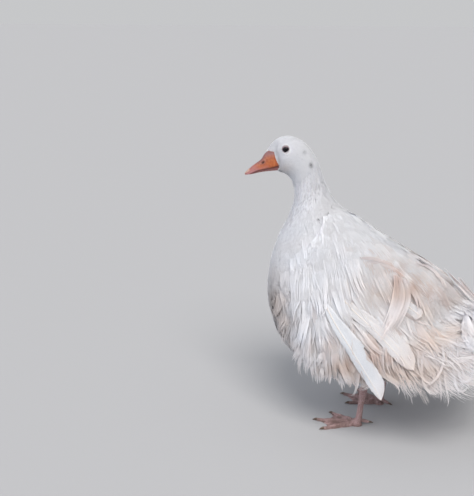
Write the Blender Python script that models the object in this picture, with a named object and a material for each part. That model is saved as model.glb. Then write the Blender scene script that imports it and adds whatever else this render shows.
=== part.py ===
# Sebastopol goose, standing at rest, life size. Metres, +Z up.
# The bird faces -Y and its left side is +X. Its head is turned a little to its left.
import bmesh
import bpy
import numpy as np
from mathutils import Vector
from mathutils.bvhtree import BVHTree

MM = 0.001
GAP = 0.3 * MM  # clearance between touching pieces

# Head and neck
HEAD_TURN = np.radians(14)
TURN_AXIS_Y = -85 * MM
CUT_NECK_BODY = 7.6  # station numbers where the one long body form is parted
CUT_HEAD_NECK = 11.4
EYE_RADIUS = 7.2 * MM
EYE_SUNK = 4.4 * MM
EYE_Y = -131 * MM
EYE_Z = 494.5 * MM

# Stations of the body form from rump to bill base:
# dorsal point (y, z), ventral point (y, z), half width, egg (below 0 is wider low down), all in mm
BODY = (
    (198, 244, 184, 188, 26, 0.0),  # rump
    (160, 278, 138, 130, 68, -0.10),  # croup
    (98, 316, 78, 88, 94, -0.18),  # loin
    (35, 352, 5, 76, 106, -0.22),  # back
    (-8, 379, -62, 88, 104, -0.22),  # withers
    (-34, 394, -122, 132, 95, -0.18),  # shoulder
    (-45, 404, -156, 206, 82, -0.14),  # breast
    (-51, 413, -157, 278, 62, -0.08),  # crop
    (-56, 424, -143, 333, 45, 0.0),  # neck root
    (-62, 437, -127, 368, 36, 0.0),  # lower neck
    (-69, 457, -116, 404, 31, 0.0),  # middle neck
    (-78, 477, -120, 434, 28.5, 0.0),  # upper neck
    (-90, 495, -130, 446, 26.5, -0.04),  # nape
    (-106, 509, -136, 448.5, 26, -0.08),  # ear
    (-129, 515.5, -140, 450, 24.6, -0.10),  # crown
    (-151.5, 508.5, -142.5, 450.5, 18.8, -0.10),  # brow
    (-168.5, 488.5, -146.5, 452, 14.8, -0.06),  # bill base
)
BROW = 14.3  # the station where the face starts to draw back beside the wedge of forehead feathers
FEATHER_LINE_BACK = 13.5 * MM  # how far it has drawn back at the last station
WEDGE_HALF_WIDTH = 0.62  # share of the half width

# Stations of the tail: the same columns as the body form, and the depth of its locks
TAIL = (
    (198, 244, 184, 188, 26, 0.0),
    (211, 237, 194, 160, 62, 0.0),
    (234, 219, 215, 134, 86, 0.0),
    (255, 192, 238, 122, 93, 0.0),
    (269, 164, 257, 128, 76, 0.0),
)
TAIL_LOCKS = 7
TAIL_LOCK_DEPTH = 9 * MM

# Stations of the bill: top (y, z), mouth line (y, z), keel (y, z), upper and lower half width, in mm
BILL = (
    (-163.5, 488.5, -142.5, 463.4, -143, 453.4, 14.0, 11.4),  # base, in the feathers
    (-170.5, 482.8, -156.5, 459.2, -156, 452.2, 13.4, 11.0),
    (-177, 472.6, -169.5, 456.3, -169, 450.6, 12.5, 10.3),  # nostril
    (-186.5, 465, -182, 453.2, -181.5, 448.2, 11.8, 9.4),
    (-196, 457.4, -193, 448.2, -192, 445.4, 10.8, 7.8),  # nail root
    (-203, 450.6, -201, 445.2, -199, 444.4, 8.2, 4.4),  # nail
    (-206.4, 446.4, -205.6, 444.4, -204.4, 443.9, 3.2, 1.4),  # tip
)
LOWER_BILL_END = 4.7
PLATE_BACK = 12.5 * MM  # how far the upper bill's sides reach back past the plane of its base

# Wings with their hanging feathers, from front (u = 0) to rear (u = 1).
# Each column starts by the spine at a body station, follows the flank to its widest, then hangs free.
WING_STATIONS = ((0.0, 5.6), (0.3, 4.0), (0.65, 2.3), (1.0, 0.35))  # u, body station
WING_HEM = (  # u, then y, z and half width of the hem in mm
    (0.0, -100, 164, 92),
    (0.18, -58, 122, 122),
    (0.4, 14, 110, 140),
    (0.65, 96, 120, 146),
    (0.85, 168, 128, 136),
    (1.0, 230, 148, 112),
)
WING_COLUMNS = 29
WING_ROWS = 10
WING_COVER = 11 * MM  # feather depth over the flank
WING_EDGE = 2 * MM  # step of the feathers at the spine and the shoulder
WING_THICK = ((0, 14), (0.35, 24), (0.55, 20), (0.85, 9), (1, 4))  # v, mm
WING_LOCKS = 9  # the hem's hanging locks, of uneven width and length
LOCK_DEPTH = 34 * MM
LOCK_SPREAD = 0.32  # how far the locks' places wander, in lock widths
LOCK_GROOVE = 4 * MM

# Long straight flight feathers that stand out over each wing: root and tip (y, z), width, in mm
BLADES = (
    (1, 237, 93, 99, 30),
    (45, 257, 142, 158, 34),
)
BLADE_THICK = 2.4 * MM
BLADE_LIFT_ROOT = 3.0 * MM
BLADE_LIFT_TIP = 10 * MM

# Feet: ball of the foot on the floor (x, y), toe directions and lengths
FEET = {"left": (54, 28), "right": (-48, 46)}  # mm
TOES = {"outer": (38, 66), "middle": (9, 74), "inner": (-24, 59)}  # degrees outwards, mm
TOE_HEIGHT = 8.5 * MM
TOE_HALF_WIDTH = 5.0 * MM
WEB_THICK = 3.2 * MM
KNUCKLE = ((0, 8.5), (5, 9.3), (13.5, 6.5))  # height and half width of the ball of the foot, mm
HIND_TOE_LENGTH = 14 * MM
HIND_TOE_HEIGHT = 9 * MM
HIND_TOE_START = 8 * MM  # behind the ball of the foot
HIND_TOE_HALF_WIDTH = 3.4 * MM
HIND_TOE_DROP = 2.5 * MM
HIND_TOE_ANGLE = 18  # degrees inwards
CLAW_LENGTH = 7.5 * MM
CLAW_HALF_WIDTH = 2.6 * MM
CLAW_HEIGHT = 2.9 * MM
CLAW_DROP = 1.9 * MM
HIND_CLAW_HALF_WIDTH = 2.0 * MM
HOCK = (1, 11, 84)  # hock from the ball of the foot, mm
KNEE = (3, -18, 132)
# Places along the shank and the thigh, with half widths across and fore-and-aft
SHANK = ((0, 6.2, 7.0), (0.12, 5.0, 5.6), (0.5, 4.6, 5.4), (0.85, 6.2, 7.2), (1, 6.8, 7.8))
THIGH = ((-0.08, 7.5, 8.5), (0.25, 13, 15), (0.6, 22, 27), (1, 30, 36))
THIGH_END = (20, 28, 34)  # length past the knee, half widths

COLOURS = {  # linear base colour, roughness
    "plumage": ((0.80, 0.79, 0.77), 0.75),
    "bill": ((0.72, 0.24, 0.06), 0.45),
    "eye": ((0.012, 0.008, 0.012), 0.08),
    "leg": ((0.42, 0.22, 0.19), 0.6),
    "claw": ((0.10, 0.08, 0.07), 0.4),
}

for old in list(bpy.data.objects):
    bpy.data.objects.remove(old, do_unlink=True)


def material(kind, name):
    colour, rough = COLOURS[kind]
    made = bpy.data.materials.new(name)
    made.use_nodes = True
    shader = made.node_tree.nodes["Principled BSDF"]
    shader.inputs["Base Color"].default_value = (*colour, 1)
    shader.inputs["Roughness"].default_value = rough
    return made


def solid(name, points, faces, kind=None):
    """One closed mesh object with its faces outwards; a helper when no material kind is given."""
    mesh = bpy.data.meshes.new(name)
    mesh.from_pydata([tuple(p) for p in points], [], faces)
    shape = bmesh.new()
    shape.from_mesh(mesh)
    bmesh.ops.triangulate(shape, faces=shape.faces, quad_method="SHORT_EDGE")
    bmesh.ops.recalc_face_normals(shape, faces=shape.faces)
    shape.to_mesh(mesh)
    shape.free()
    mesh.shade_smooth()
    mesh.set_sharp_from_angle(angle=np.radians(50))
    made = bpy.data.objects.new(name, mesh)
    bpy.context.scene.collection.objects.link(made)
    if kind:
        mesh.materials.append(material(kind, name))
    else:
        made.hide_render = True
        made.display_type = "WIRE"
    return made


def loft(name, rings, kind=None):
    """Skins a stack of rings, each with the same number of points, and closes both ends."""
    rings = np.asarray(rings)
    count, around = rings.shape[:2]
    faces = []
    for i in range(count - 1):
        for j in range(around):
            k = (j + 1) % around
            faces.append((i * around + j, i * around + k, (i + 1) * around + k, (i + 1) * around + j))
    faces.append(tuple(range(around)))
    faces.append(tuple((count - 1) * around + j for j in range(around)))
    return solid(name, rings.reshape(-1, 3), faces, kind)


def boolean(target, cutter, operation):
    step = target.modifiers.new(operation.title(), "BOOLEAN")
    step.operation = operation
    step.object = cutter
    step.solver = "EXACT"


def inflated(source, name, amount):
    """A cutter: the mesh pushed out along its vertex normals."""
    mesh = source.data
    normals = np.array([v.normal for v in mesh.vertices])
    points = np.array([v.co for v in mesh.vertices]) + normals * amount
    return solid(name, points, [tuple(p.vertices) for p in mesh.polygons])


def spline(table, at):
    """Catmull-Rom through the rows of a table, at row numbers that needn't be whole."""
    rows = np.asarray(table, float)
    at = np.clip(np.atleast_1d(at), 0, len(rows) - 1)
    i = np.minimum(at.astype(int), len(rows) - 2)
    t = (at - i)[:, None]
    before = np.where((i > 0)[:, None], rows[np.maximum(i - 1, 0)], 2 * rows[i] - rows[i + 1])
    past = i + 2 < len(rows)
    after = rows[np.minimum(i + 2, len(rows) - 1)]
    after = np.where(past[:, None], after, 2 * rows[i + 1] - rows[i])
    a, b = rows[i], rows[i + 1]
    bend = 2 * before - 5 * a + 4 * b - after
    twist = 3 * a - before - 3 * b + after
    return 0.5 * (2 * a + (b - before) * t + bend * t**2 + twist * t**3)


def ease(x):
    """Three x squared less two x cubed, held between 0 and 1."""
    x = np.clip(x, 0, 1)
    return x * x * (3 - 2 * x)


def keyed(table, at):
    """Smooth reading of a table whose first column is the key."""
    rows = np.asarray(table, float)
    place = np.interp(at, rows[:, 0], np.arange(len(rows)))
    return spline(rows[:, 1:], place)


def turn(points, angle):
    """Turns points round the upright axis of the neck, to the bird's left."""
    points = np.array(points, float)
    x, y = points[..., 0].copy(), points[..., 1] - TURN_AXIS_Y
    points[..., 0] = x * np.cos(angle) - y * np.sin(angle)
    points[..., 1] = x * np.sin(angle) + y * np.cos(angle) + TURN_AXIS_Y
    return points


def neck_turn(at):
    """The turn at a body station: none at the crop, all of it from the upper neck on."""
    return HEAD_TURN * ease((at - 7) / 4)


def body_ring(row, around, angle=0.0, locks=0, depth=0.0, back=0.0):
    """An egg section between a dorsal and a ventral point, whose sides can be drawn back."""
    dorsal = np.array((0, row[0], row[1])) * MM
    ventral = np.array((0, row[2], row[3])) * MM
    t = np.arange(around) / around * 2 * np.pi
    fall = 0.5 - 0.5 * np.sign(np.cos(t)) * np.abs(np.cos(t)) ** 0.92
    side = np.sin(t) * (1 + row[5] * np.cos(t)) * row[4] * MM
    if locks:
        side *= 1 - depth / (row[4] * MM) * np.abs(np.sin(t * locks / 2))
    points = dorsal + (ventral - dorsal) * fall[:, None]
    points[:, 0] += side
    beside = np.sin(np.pi / 2 * np.clip(np.abs(np.sin(t)) / WEDGE_HALF_WIDTH, 0, 1))
    points[:, 1] += back * beside * (1 - 0.45 * fall) * ease((1 - fall) / 0.28)
    return turn(points, angle)


def body_form(name, first, last, count, around):
    """A length of the body form. A gap is left at a parted end, along the normal of its plane."""
    rings = []
    for at in np.linspace(first, last, count):
        back = FEATHER_LINE_BACK * ease((at - BROW) / (len(BODY) - 1 - BROW))
        rings.append(body_ring(spline(BODY, at)[0], around, neck_turn(at), back=back))
    rings = np.array(rings)
    for end, inner in ((0, 1), (-1, -2)):
        ring = rings[end]
        normal = np.cross(ring[around // 4] - ring[0], ring[around // 2] - ring[0])
        normal /= np.linalg.norm(normal)
        normal *= np.sign(np.dot(normal, rings[inner].mean(0) - ring.mean(0)))
        rings[end] = ring + normal * GAP * 0.6
    return loft(name, rings, "plumage")


trunk = body_form("trunk", 0.0, CUT_NECK_BODY, 15, 28)
neck = body_form("neck", CUT_NECK_BODY, CUT_HEAD_NECK, 9, 24)
head = body_form("head", CUT_HEAD_NECK, 16.0, 15, 26)
trunk_cutter = inflated(trunk, "trunk_cutter", GAP)


def build_tail():
    steps = np.linspace(0, len(TAIL) - 1, 8)
    rings = []
    for row, step in zip(spline(TAIL, steps), steps):
        rings.append(body_ring(row, 28, 0, TAIL_LOCKS, TAIL_LOCK_DEPTH * step / 4))
    rings = np.array(rings)
    first = rings[0]
    away = rings[1].mean(0) - first.mean(0)
    rings[0] = first + away / np.linalg.norm(away) * GAP * 1.2
    middle = rings[-1].mean(0)
    tip = middle + (rings[-1] - middle) * 0.45 + np.array((0, 4, -2)) * MM
    return loft("tail", [*rings, tip], "plumage")


tail = build_tail()


def depth_reader(thing):
    """A function that gives the outer x of a mesh on the left side at (y, z), or nothing."""
    tree = BVHTree.FromPolygons(
        [v.co for v in thing.data.vertices], [tuple(p.vertices) for p in thing.data.polygons]
    )

    def outer_x(y, z):
        hit = tree.ray_cast(Vector((1, y, z)), Vector((-1, 0, 0)))[0]
        return hit.x if hit and hit.x > 0 else None

    return outer_x


def flank_point(station, angle, lift):
    """A point on the left of the body form, raised square to its section."""
    row = spline(BODY, station)[0]
    ring = body_ring(row, 64)
    place = angle / (2 * np.pi) * 64
    low = int(place)
    point = ring[low] + (ring[low + 1] - ring[low]) * (place - low)
    along = ring[low + 1] - ring[low]
    spine = np.array((0, row[0] - row[2], row[1] - row[3]))
    out = np.cross(np.cross(spine, (1, 0, 0)), along)
    out /= np.linalg.norm(out)
    out *= np.sign(out @ (point - ring.mean(0)))
    return point + out * lift


def wing_column(u, hem_rise, groove):
    """The outer face of the left wing at u: spine, shoulder, widest flank, then the hanging length."""
    station = keyed(WING_STATIONS, u)[0, 0]
    hem = keyed(WING_HEM, u)[0][[2, 0, 1]] * MM + np.array((0, 0, hem_rise))
    cover = WING_EDGE + (WING_COVER - WING_EDGE) * ease(u / 0.16) * ease((1 - u) / 0.12)
    top = flank_point(station, np.radians(2.5), WING_EDGE)
    shoulder = flank_point(station + 0.12, np.radians(42), cover)
    flank = flank_point(station + 0.25, np.radians(86), cover)
    middle = flank + (hem - flank) * 0.5 + np.array((5, 0, 0)) * MM
    column = spline((top, shoulder, flank, middle, hem), np.linspace(0, 4, WING_ROWS))
    hanging = ease((np.linspace(0, 1, WING_ROWS) - 0.35) / 0.4)
    column[:, 0] -= groove * hanging
    return column


def build_wing(side):
    """A mantle of feathers with a ragged hem, hollowed to fit the trunk."""
    sign = 1 if side == "left" else -1
    chance = np.random.default_rng(5 if side == "left" else 6)
    reach = chance.uniform(0.2, 1.0, WING_LOCKS + 2)
    outer = []
    for u in np.linspace(0, 1, WING_COLUMNS):
        lock = u * WING_LOCKS + (0.0 if side == "left" else 0.4)
        lock = abs(lock + LOCK_SPREAD * np.sin(2.6 * lock))
        notch = np.abs(np.sin(np.pi * lock))
        depth = LOCK_DEPTH * (0.4 + 0.6 * ease(u / 0.3))
        rise = depth * ((1 - notch) * 0.7 - 0.6 * reach[int(lock)] * notch)
        outer.append(wing_column(u, rise, LOCK_GROOVE * (1 - notch)))
    outer = np.array(outer)
    v = np.linspace(0, 1, WING_ROWS)
    keys, thick = np.array(WING_THICK).T
    lean = np.radians(np.interp(v, (0, 0.25, 0.5), (8, 50, 90)))
    inwards = np.stack([-np.sin(lean), np.zeros(WING_ROWS), -np.cos(lean)], 1)
    inner = outer + inwards * np.interp(v, keys, thick)[:, None] * MM
    points = np.concatenate([outer.reshape(-1, 3), inner.reshape(-1, 3)])
    points[:, 0] = np.maximum(points[:, 0], 1.5 * MM) * sign
    faces = []
    layer = WING_COLUMNS * WING_ROWS

    def at(i, j, inside):
        return inside * layer + i * WING_ROWS + j

    for inside in (0, 1):
        for i in range(WING_COLUMNS - 1):
            for j in range(WING_ROWS - 1):
                quad = [(i, j), (i + 1, j), (i + 1, j + 1), (i, j + 1)]
                faces.append(tuple(at(a, b, inside) for a, b in quad))
    border = [(i, 0) for i in range(WING_COLUMNS - 1)]
    border += [(WING_COLUMNS - 1, j) for j in range(WING_ROWS - 1)]
    border += [(i, WING_ROWS - 1) for i in range(WING_COLUMNS - 1, 0, -1)]
    border += [(0, j) for j in range(WING_ROWS - 1, 0, -1)]
    for a, b in zip(border, border[1:] + border[:1]):
        faces.append((at(*a, 0), at(*b, 0), at(*b, 1), at(*a, 1)))
    wing = solid("wing_" + side, points, faces, "plumage")
    boolean(wing, trunk_cutter, "DIFFERENCE")
    return wing


build_wing("right")
wing_x = depth_reader(build_wing("left"))


def build_blade(side, number, root_y, root_z, tip_y, tip_z, width):
    """A broad flight feather: thin lens sections along a line that lies over the wing."""
    sign = 1 if side == "left" else -1
    root = np.array((root_y, root_z)) * MM
    tip = np.array((tip_y, tip_z)) * MM
    along = (tip - root) / np.linalg.norm(tip - root)
    across = np.array((0, along[1], -along[0]))
    rings = []
    for s in (0, 0.15, 0.35, 0.6, 0.82, 0.92, 0.98, 1):
        y, z = root + (tip - root) * s
        lift = BLADE_LIFT_ROOT + (BLADE_LIFT_TIP - BLADE_LIFT_ROOT) * s
        rounding = np.sqrt(max(0.08, 1 - (max(s - 0.82, 0) / 0.18) ** 2))
        half = 0.5 * width * MM * (0.45 + 0.55 * ease(s / 0.55)) * rounding
        line = []
        for e in (-1, -0.5, 0, 0.5, 1):
            cy, cz = y + across[1] * e * half, z + across[2] * e * half
            line.append((wing_x(cy, cz) or hem_reach(cy), cy, cz))
        line = np.array(line)
        line[:, 0] = line[:, 0].max() + lift - 1.5 * MM * np.array((1, 0.25, 0, 0.25, 1))
        body = BLADE_THICK * np.array((0.3, 0.9, 1, 0.9, 0.3))
        over, under = line.copy(), line[::-1].copy()
        over[:, 0] += body / 2
        under[:, 0] -= body[::-1] / 2
        rings.append(np.concatenate([over, under]) * (sign, 1, 1))
    return loft(f"primary_{side}_{number}", rings, "plumage")


def hem_reach(y):
    """The half width of the hem at a place along the bird, past the wing's own outline."""
    rows = np.asarray(WING_HEM, float)
    return np.interp(y / MM, rows[:, 1], rows[:, 3]) * MM


for side in ("left", "right"):
    for number, blade in enumerate(BLADES, 1):
        build_blade(side, number, *blade)


def bill_rings(first_column, second_column, width_column, last, drop, up):
    """Arched sections that are flat at the mouth line. The upper ones reach back beside the culmen."""
    steps = np.linspace(0, last, 13)
    arc = np.linspace(0, np.pi, 13)
    rings = []
    for step, row in zip(steps, spline(BILL, steps)):
        crest = np.array((0, *row[first_column : first_column + 2])) * MM
        mouth = np.array((0, *row[second_column : second_column + 2])) * MM
        mouth[2] -= drop
        half = row[width_column] * MM
        rise = np.sin(arc) ** (0.85 if up else 0.7)
        points = mouth + (crest - mouth) * rise[:, None]
        points[:, 0] = half * np.cos(arc) * (1 - 0.12 * rise)
        if up:
            beside = np.sin(np.pi / 2 * np.clip(np.cos(arc) ** 2 * 2.5, 0, 1))
            points[:, 1] += PLATE_BACK * rise**1.3 * beside * ease(1 - step)
        rings.append(points)
    return turn(rings, HEAD_TURN)


bill_upper = loft("bill_upper", bill_rings(0, 2, 6, 6.0, 0.0, True), "bill")
bill_lower = loft("bill_lower", bill_rings(4, 2, 7, LOWER_BILL_END, GAP * 1.3, False), "bill")
for jaw in (bill_upper, bill_lower):
    boolean(head, inflated(jaw, jaw.name + "_cutter", GAP), "DIFFERENCE")


def ball(name, centre, radius, kind=None, segments=12, rings=7):
    """A globe with its poles on the x axis."""
    points = [centre + np.array((radius, 0, 0))]
    for i in range(1, rings):
        lean = np.pi * i / rings
        t = np.arange(segments) / segments * 2 * np.pi
        sine = np.sin(lean)
        ring = np.stack([np.full(segments, np.cos(lean)), sine * np.cos(t), sine * np.sin(t)], 1)
        points.extend(centre + ring * radius)
    points.append(centre - np.array((radius, 0, 0)))
    faces = []
    for j in range(segments):
        k = (j + 1) % segments
        faces.append((0, 1 + j, 1 + k))
        for i in range(rings - 2):
            a = 1 + i * segments
            faces.append((a + j, a + segments + j, a + segments + k, a + k))
        low = 1 + (rings - 2) * segments
        faces.append((low + j, len(points) - 1, low + k))
    return solid(name, points, faces, kind)


head_tree = BVHTree.FromPolygons(
    [v.co for v in head.data.vertices], [tuple(p.vertices) for p in head.data.polygons]
)
for side, sign in (("left", 1), ("right", -1)):
    outside = turn((sign * 0.2, EYE_Y, EYE_Z), HEAD_TURN)
    inside = turn((0, EYE_Y, EYE_Z), HEAD_TURN)
    aim = Vector(inside - outside).normalized()
    surface = np.array(head_tree.ray_cast(Vector(outside), aim)[0])
    centre = surface + np.array(aim) * EYE_SUNK
    ball("eye_" + side, centre, EYE_RADIUS, "eye")
    socket = ball("socket_" + side, centre, EYE_RADIUS + GAP)
    boolean(head, socket, "DIFFERENCE")


def toe_ring(centre, heading, half, height, base, around=8):
    """A round-topped section with a flat sole."""
    t = np.linspace(0, np.pi, around - 2)
    across = np.array((np.cos(heading), np.sin(heading), 0))
    arch = []
    for a in t:
        rise = np.array((0, 0, base + (height - base) * np.sin(a)))
        arch.append(centre + across * half * np.cos(a) + rise)
    for w in (-0.5, 0.5):
        arch.append(centre + across * half * w + np.array((0, 0, base)))
    return arch


def build_foot(side):
    """Three toes and their web joined to the ball of the foot, with claws of their own."""
    sign = 1 if side == "left" else -1
    ball_x, ball_y = FEET[side]
    origin = np.array((ball_x, ball_y, 0)) * MM
    tips = {}
    foot = None
    for name, (out, length) in TOES.items():
        angle = np.radians(out) * sign
        heading = np.array((np.sin(angle), -np.cos(angle), 0))
        rings = []
        for s in (-0.06, 0.12, 0.3, 0.45, 0.62, 0.8, 1):
            swell = 1 + 0.14 * np.cos(s * 6 * np.pi)
            half = TOE_HALF_WIDTH * (1 - 0.42 * max(s, 0)) * swell
            height = TOE_HEIGHT * (1.25 - 0.7 * max(s, 0)) * (0.5 + 0.5 * swell)
            base = 0.6 * MM * np.clip((0.3 - s) / 0.12, 0, 1)
            rings.append(toe_ring(origin + heading * length * MM * s, angle, half, height, base))
        tips[name] = (origin + heading * length * MM, heading)
        if foot is None:
            foot = loft("foot_" + side, rings, "leg")
        else:
            boolean(foot, loft(f"toe_{side}_{name}", rings), "UNION")
    edge = [origin + np.array((-sign * 6, 6, 0)) * MM]
    order = ("inner", "middle", "outer")
    for first, second in zip(order, order[1:]):
        a = tips[first][0] - tips[first][1] * 5 * MM
        b = tips[second][0] - tips[second][1] * 5 * MM
        for s in np.linspace(0, 1, 5)[: None if second == "outer" else -1]:
            inset = 0.13 * np.sin(np.pi * s)
            edge.append((a + (b - a) * s) * (1 - inset) + origin * inset)
    edge.append(origin + np.array((sign * 6, 6, 0)) * MM)
    low = [p + np.array((0, 0, 1.0 * MM)) for p in edge]
    high = [p + np.array((0, 0, 1.0 * MM + WEB_THICK)) for p in edge]
    web = loft("web_" + side, [low, high])
    boolean(foot, web, "UNION")
    knuckle_rings = []
    for lift, half in KNUCKLE:
        t = np.arange(12) / 12 * 2 * np.pi
        shape = np.stack([half * np.cos(t), half * 1.15 * np.sin(t) + 0.2 * lift, np.full(12, lift)], 1)
        knuckle_rings.append(origin + shape * MM)
    knuckle = loft("knuckle_" + side, knuckle_rings)
    boolean(foot, knuckle, "UNION")
    out = np.radians(HIND_TOE_ANGLE) * sign
    back = np.array((-np.sin(out), np.cos(out), 0))

    def hind_middle(s):
        height = np.array((0, 0, HIND_TOE_HEIGHT - HIND_TOE_DROP * s))
        return origin + back * (HIND_TOE_START + HIND_TOE_LENGTH * s) + height

    rings = []
    for s in (-0.35, 0.2, 0.7, 1):
        middle = hind_middle(s)
        t = np.arange(8) / 8 * 2 * np.pi
        half = HIND_TOE_HALF_WIDTH * (1 - 0.35 * max(s, 0))
        across = np.array((np.cos(out), np.sin(out), 0))
        rings.append([middle + across * half * np.cos(a) + np.array((0, 0, half * np.sin(a))) for a in t])
    hind = loft("hind_toe_" + side, rings)
    boolean(foot, hind, "UNION")
    tips["hind"] = (hind_middle(1), back)
    for name, (tip, heading) in tips.items():
        build_claw(side, name, tip, heading)


def build_claw(side, name, tip, heading):
    """A short curved cone that starts a hair's breadth beyond the toe."""
    across = np.cross(heading, (0, 0, 1))
    hind = name == "hind"
    half = HIND_CLAW_HALF_WIDTH if hind else CLAW_HALF_WIDTH
    centre_z = 0.0 if hind else CLAW_HEIGHT
    rings = []
    for s in (0, 0.35, 0.7, 1):
        t = np.arange(7) / 7 * 2 * np.pi
        size = half * (1 - 0.86 * s**1.4)
        middle = tip + heading * (GAP + CLAW_LENGTH * s) + np.array((0, 0, centre_z - CLAW_DROP * s**2))
        rings.append([middle + across * size * np.cos(a) + np.array((0, 0, size * np.sin(a))) for a in t])
    return loft(f"claw_{side}_{name}", rings, "claw")


def tube(name, points, halves, around, kind):
    """Round sections along a line of points, square to it; points and half widths in mm."""
    points = np.array(points) * MM
    rings = []
    for i, (centre, half) in enumerate(zip(points, halves)):
        ahead = points[min(i + 1, len(points) - 1)] - points[max(i - 1, 0)]
        ahead /= np.linalg.norm(ahead)
        side = np.cross(ahead, (0, 1, 0))
        side /= np.linalg.norm(side)
        fore = np.cross(side, ahead)
        t = np.arange(around) / around * 2 * np.pi
        rings.append([centre + (side * half[0] * np.cos(a) + fore * half[1] * np.sin(a)) * MM for a in t])
    return loft(name, rings, kind)


def build_leg(side):
    """The scaly shank from foot to hock, and the feathered thigh above it."""
    ball_x, ball_y = FEET[side]
    sign = 1 if side == "left" else -1
    foot = np.array((ball_x, ball_y + 2.5, 13.5 + GAP / MM))
    hock = np.array((ball_x + sign * HOCK[0], ball_y + HOCK[1], HOCK[2]))
    knee = np.array((ball_x + sign * KNEE[0], KNEE[1] + ball_y * 0.5, KNEE[2]))
    centres = [foot + (hock - foot) * row[0] for row in SHANK]
    shank = tube("shank_" + side, centres, [row[1:] for row in SHANK], 12, "leg")
    for vertex in list(shank.data.vertices)[:12]:
        vertex.co.z = foot[2] * MM
    away = (knee - hock) / np.linalg.norm(knee - hock)
    start = hock + (hock - foot) / np.linalg.norm(hock - foot)
    centres = [start + (knee - start) * row[0] for row in THIGH]
    centres.append(knee + away * THIGH_END[0])
    halves = [row[1:] for row in THIGH] + [THIGH_END[1:]]
    thigh = tube("thigh_" + side, centres, halves, 16, "plumage")
    boolean(thigh, trunk_cutter, "DIFFERENCE")
    boolean(thigh, inflated(shank, "shank_cutter_" + side, GAP * 1.3), "DIFFERENCE")


for side in ("left", "right"):
    build_foot(side)
    build_leg(side)


def centre_on_floor():
    """Moves everything so that the origin is under the middle of the bird, on the floor."""
    bpy.context.view_layer.update()
    graph = bpy.context.evaluated_depsgraph_get()
    corners = []
    for thing in bpy.data.objects:
        if not thing.hide_render:
            corners.extend(thing.evaluated_get(graph).bound_box)
    corners = np.array(corners)
    low, high = corners.min(0), corners.max(0)
    shift = -np.array(((low[0] + high[0]) / 2, (low[1] + high[1]) / 2, low[2]))
    for thing in bpy.data.objects:
        thing.location = shift
    bpy.context.view_layer.update()


centre_on_floor()
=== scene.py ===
import bpy
import numpy as np
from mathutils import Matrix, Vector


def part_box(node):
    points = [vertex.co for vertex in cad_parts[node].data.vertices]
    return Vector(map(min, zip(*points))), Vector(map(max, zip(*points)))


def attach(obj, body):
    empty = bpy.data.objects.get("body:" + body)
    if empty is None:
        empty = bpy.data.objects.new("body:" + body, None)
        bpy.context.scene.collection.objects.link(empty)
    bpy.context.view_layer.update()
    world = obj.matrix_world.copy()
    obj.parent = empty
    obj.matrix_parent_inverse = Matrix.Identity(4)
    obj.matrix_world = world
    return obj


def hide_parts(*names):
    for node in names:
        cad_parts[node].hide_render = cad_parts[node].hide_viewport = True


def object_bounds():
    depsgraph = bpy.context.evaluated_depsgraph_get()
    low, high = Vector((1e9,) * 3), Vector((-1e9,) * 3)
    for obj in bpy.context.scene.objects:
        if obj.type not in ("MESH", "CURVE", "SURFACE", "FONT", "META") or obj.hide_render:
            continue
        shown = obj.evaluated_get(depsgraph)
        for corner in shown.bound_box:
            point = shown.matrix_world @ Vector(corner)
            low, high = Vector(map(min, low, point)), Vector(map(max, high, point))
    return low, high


# Sebastopol goose: skin, plumage, bill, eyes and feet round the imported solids. It faces -Y, its left is +X.
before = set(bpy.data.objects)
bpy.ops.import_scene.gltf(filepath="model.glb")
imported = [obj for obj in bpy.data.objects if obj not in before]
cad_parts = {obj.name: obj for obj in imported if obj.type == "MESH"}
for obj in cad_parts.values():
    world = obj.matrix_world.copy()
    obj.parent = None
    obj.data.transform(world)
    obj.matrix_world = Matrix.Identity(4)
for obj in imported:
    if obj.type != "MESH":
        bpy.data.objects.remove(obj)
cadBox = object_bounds()
mm = 0.001
bothSides = (("left", 1), ("right", -1))


def ease(x):
    # three x squared less two x cubed, held between 0 and 1
    x = np.clip(x, 0, 1)
    return x * x * (3 - 2 * x)


def mix(a, b, share):
    # a at share 0, b at share 1, on a straight line between
    return a + (b - a) * share


def unit(v):
    # each vector over its own length
    return v / np.maximum(np.linalg.norm(v, axis=-1, keepdims=True), 1e-12)


def dot(a, b):
    # the sum of products over x, y and z
    return (a * b).sum(-1, keepdims=True)


def hill(x, middle, reach):
    # a soft bump, 1 at the middle: e to the minus square of the distance over the reach
    return np.exp(-(((x - middle) / reach) ** 2))


def spline(table, at):
    # Catmull-Rom through the rows of a table, read at row numbers of any shape, held at both ends
    rows = np.asarray(table, float)
    at = np.clip(np.asarray(at, float), 0, len(rows) - 1)
    i = np.minimum(at.astype(int), len(rows) - 2)
    wide = at.shape + (1,) * (rows.ndim - 1)
    t = (at - i).reshape(wide)
    a, b = rows[i], rows[i + 1]
    before = np.where((i > 0).reshape(wide), rows[np.maximum(i - 1, 0)], 2 * a - b)
    after = np.where((i + 2 < len(rows)).reshape(wide), rows[np.minimum(i + 2, len(rows) - 1)], 2 * b - a)
    bend = 2 * before - 5 * a + 4 * b - after
    twist = 3 * a - before - 3 * b + after
    return 0.5 * (2 * a + (b - before) * t + bend * t**2 + twist * t**3)


def keyed(table, at):
    # a smooth reading of a table whose first column is the key
    rows = np.asarray(table, float)
    return spline(rows[:, 1:], np.interp(at, rows[:, 0], np.arange(len(rows))))


def waves(seed, a, b, count=6):
    # a smooth random field between about -1 and 1: a sum of sine waves in a and b with random headings
    pick = np.random.default_rng(seed)
    heading = pick.uniform(0, 2 * np.pi, count)
    rate = 2 * np.pi * pick.uniform(0.5, 1.5, count)
    phase = pick.uniform(0, 2 * np.pi, count)
    total = 0
    for h, r, p in zip(heading, rate, phase):
        total = total + np.sin(r * (a * np.cos(h) + b * np.sin(h)) + p)
    return total / np.sqrt(count)


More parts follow.
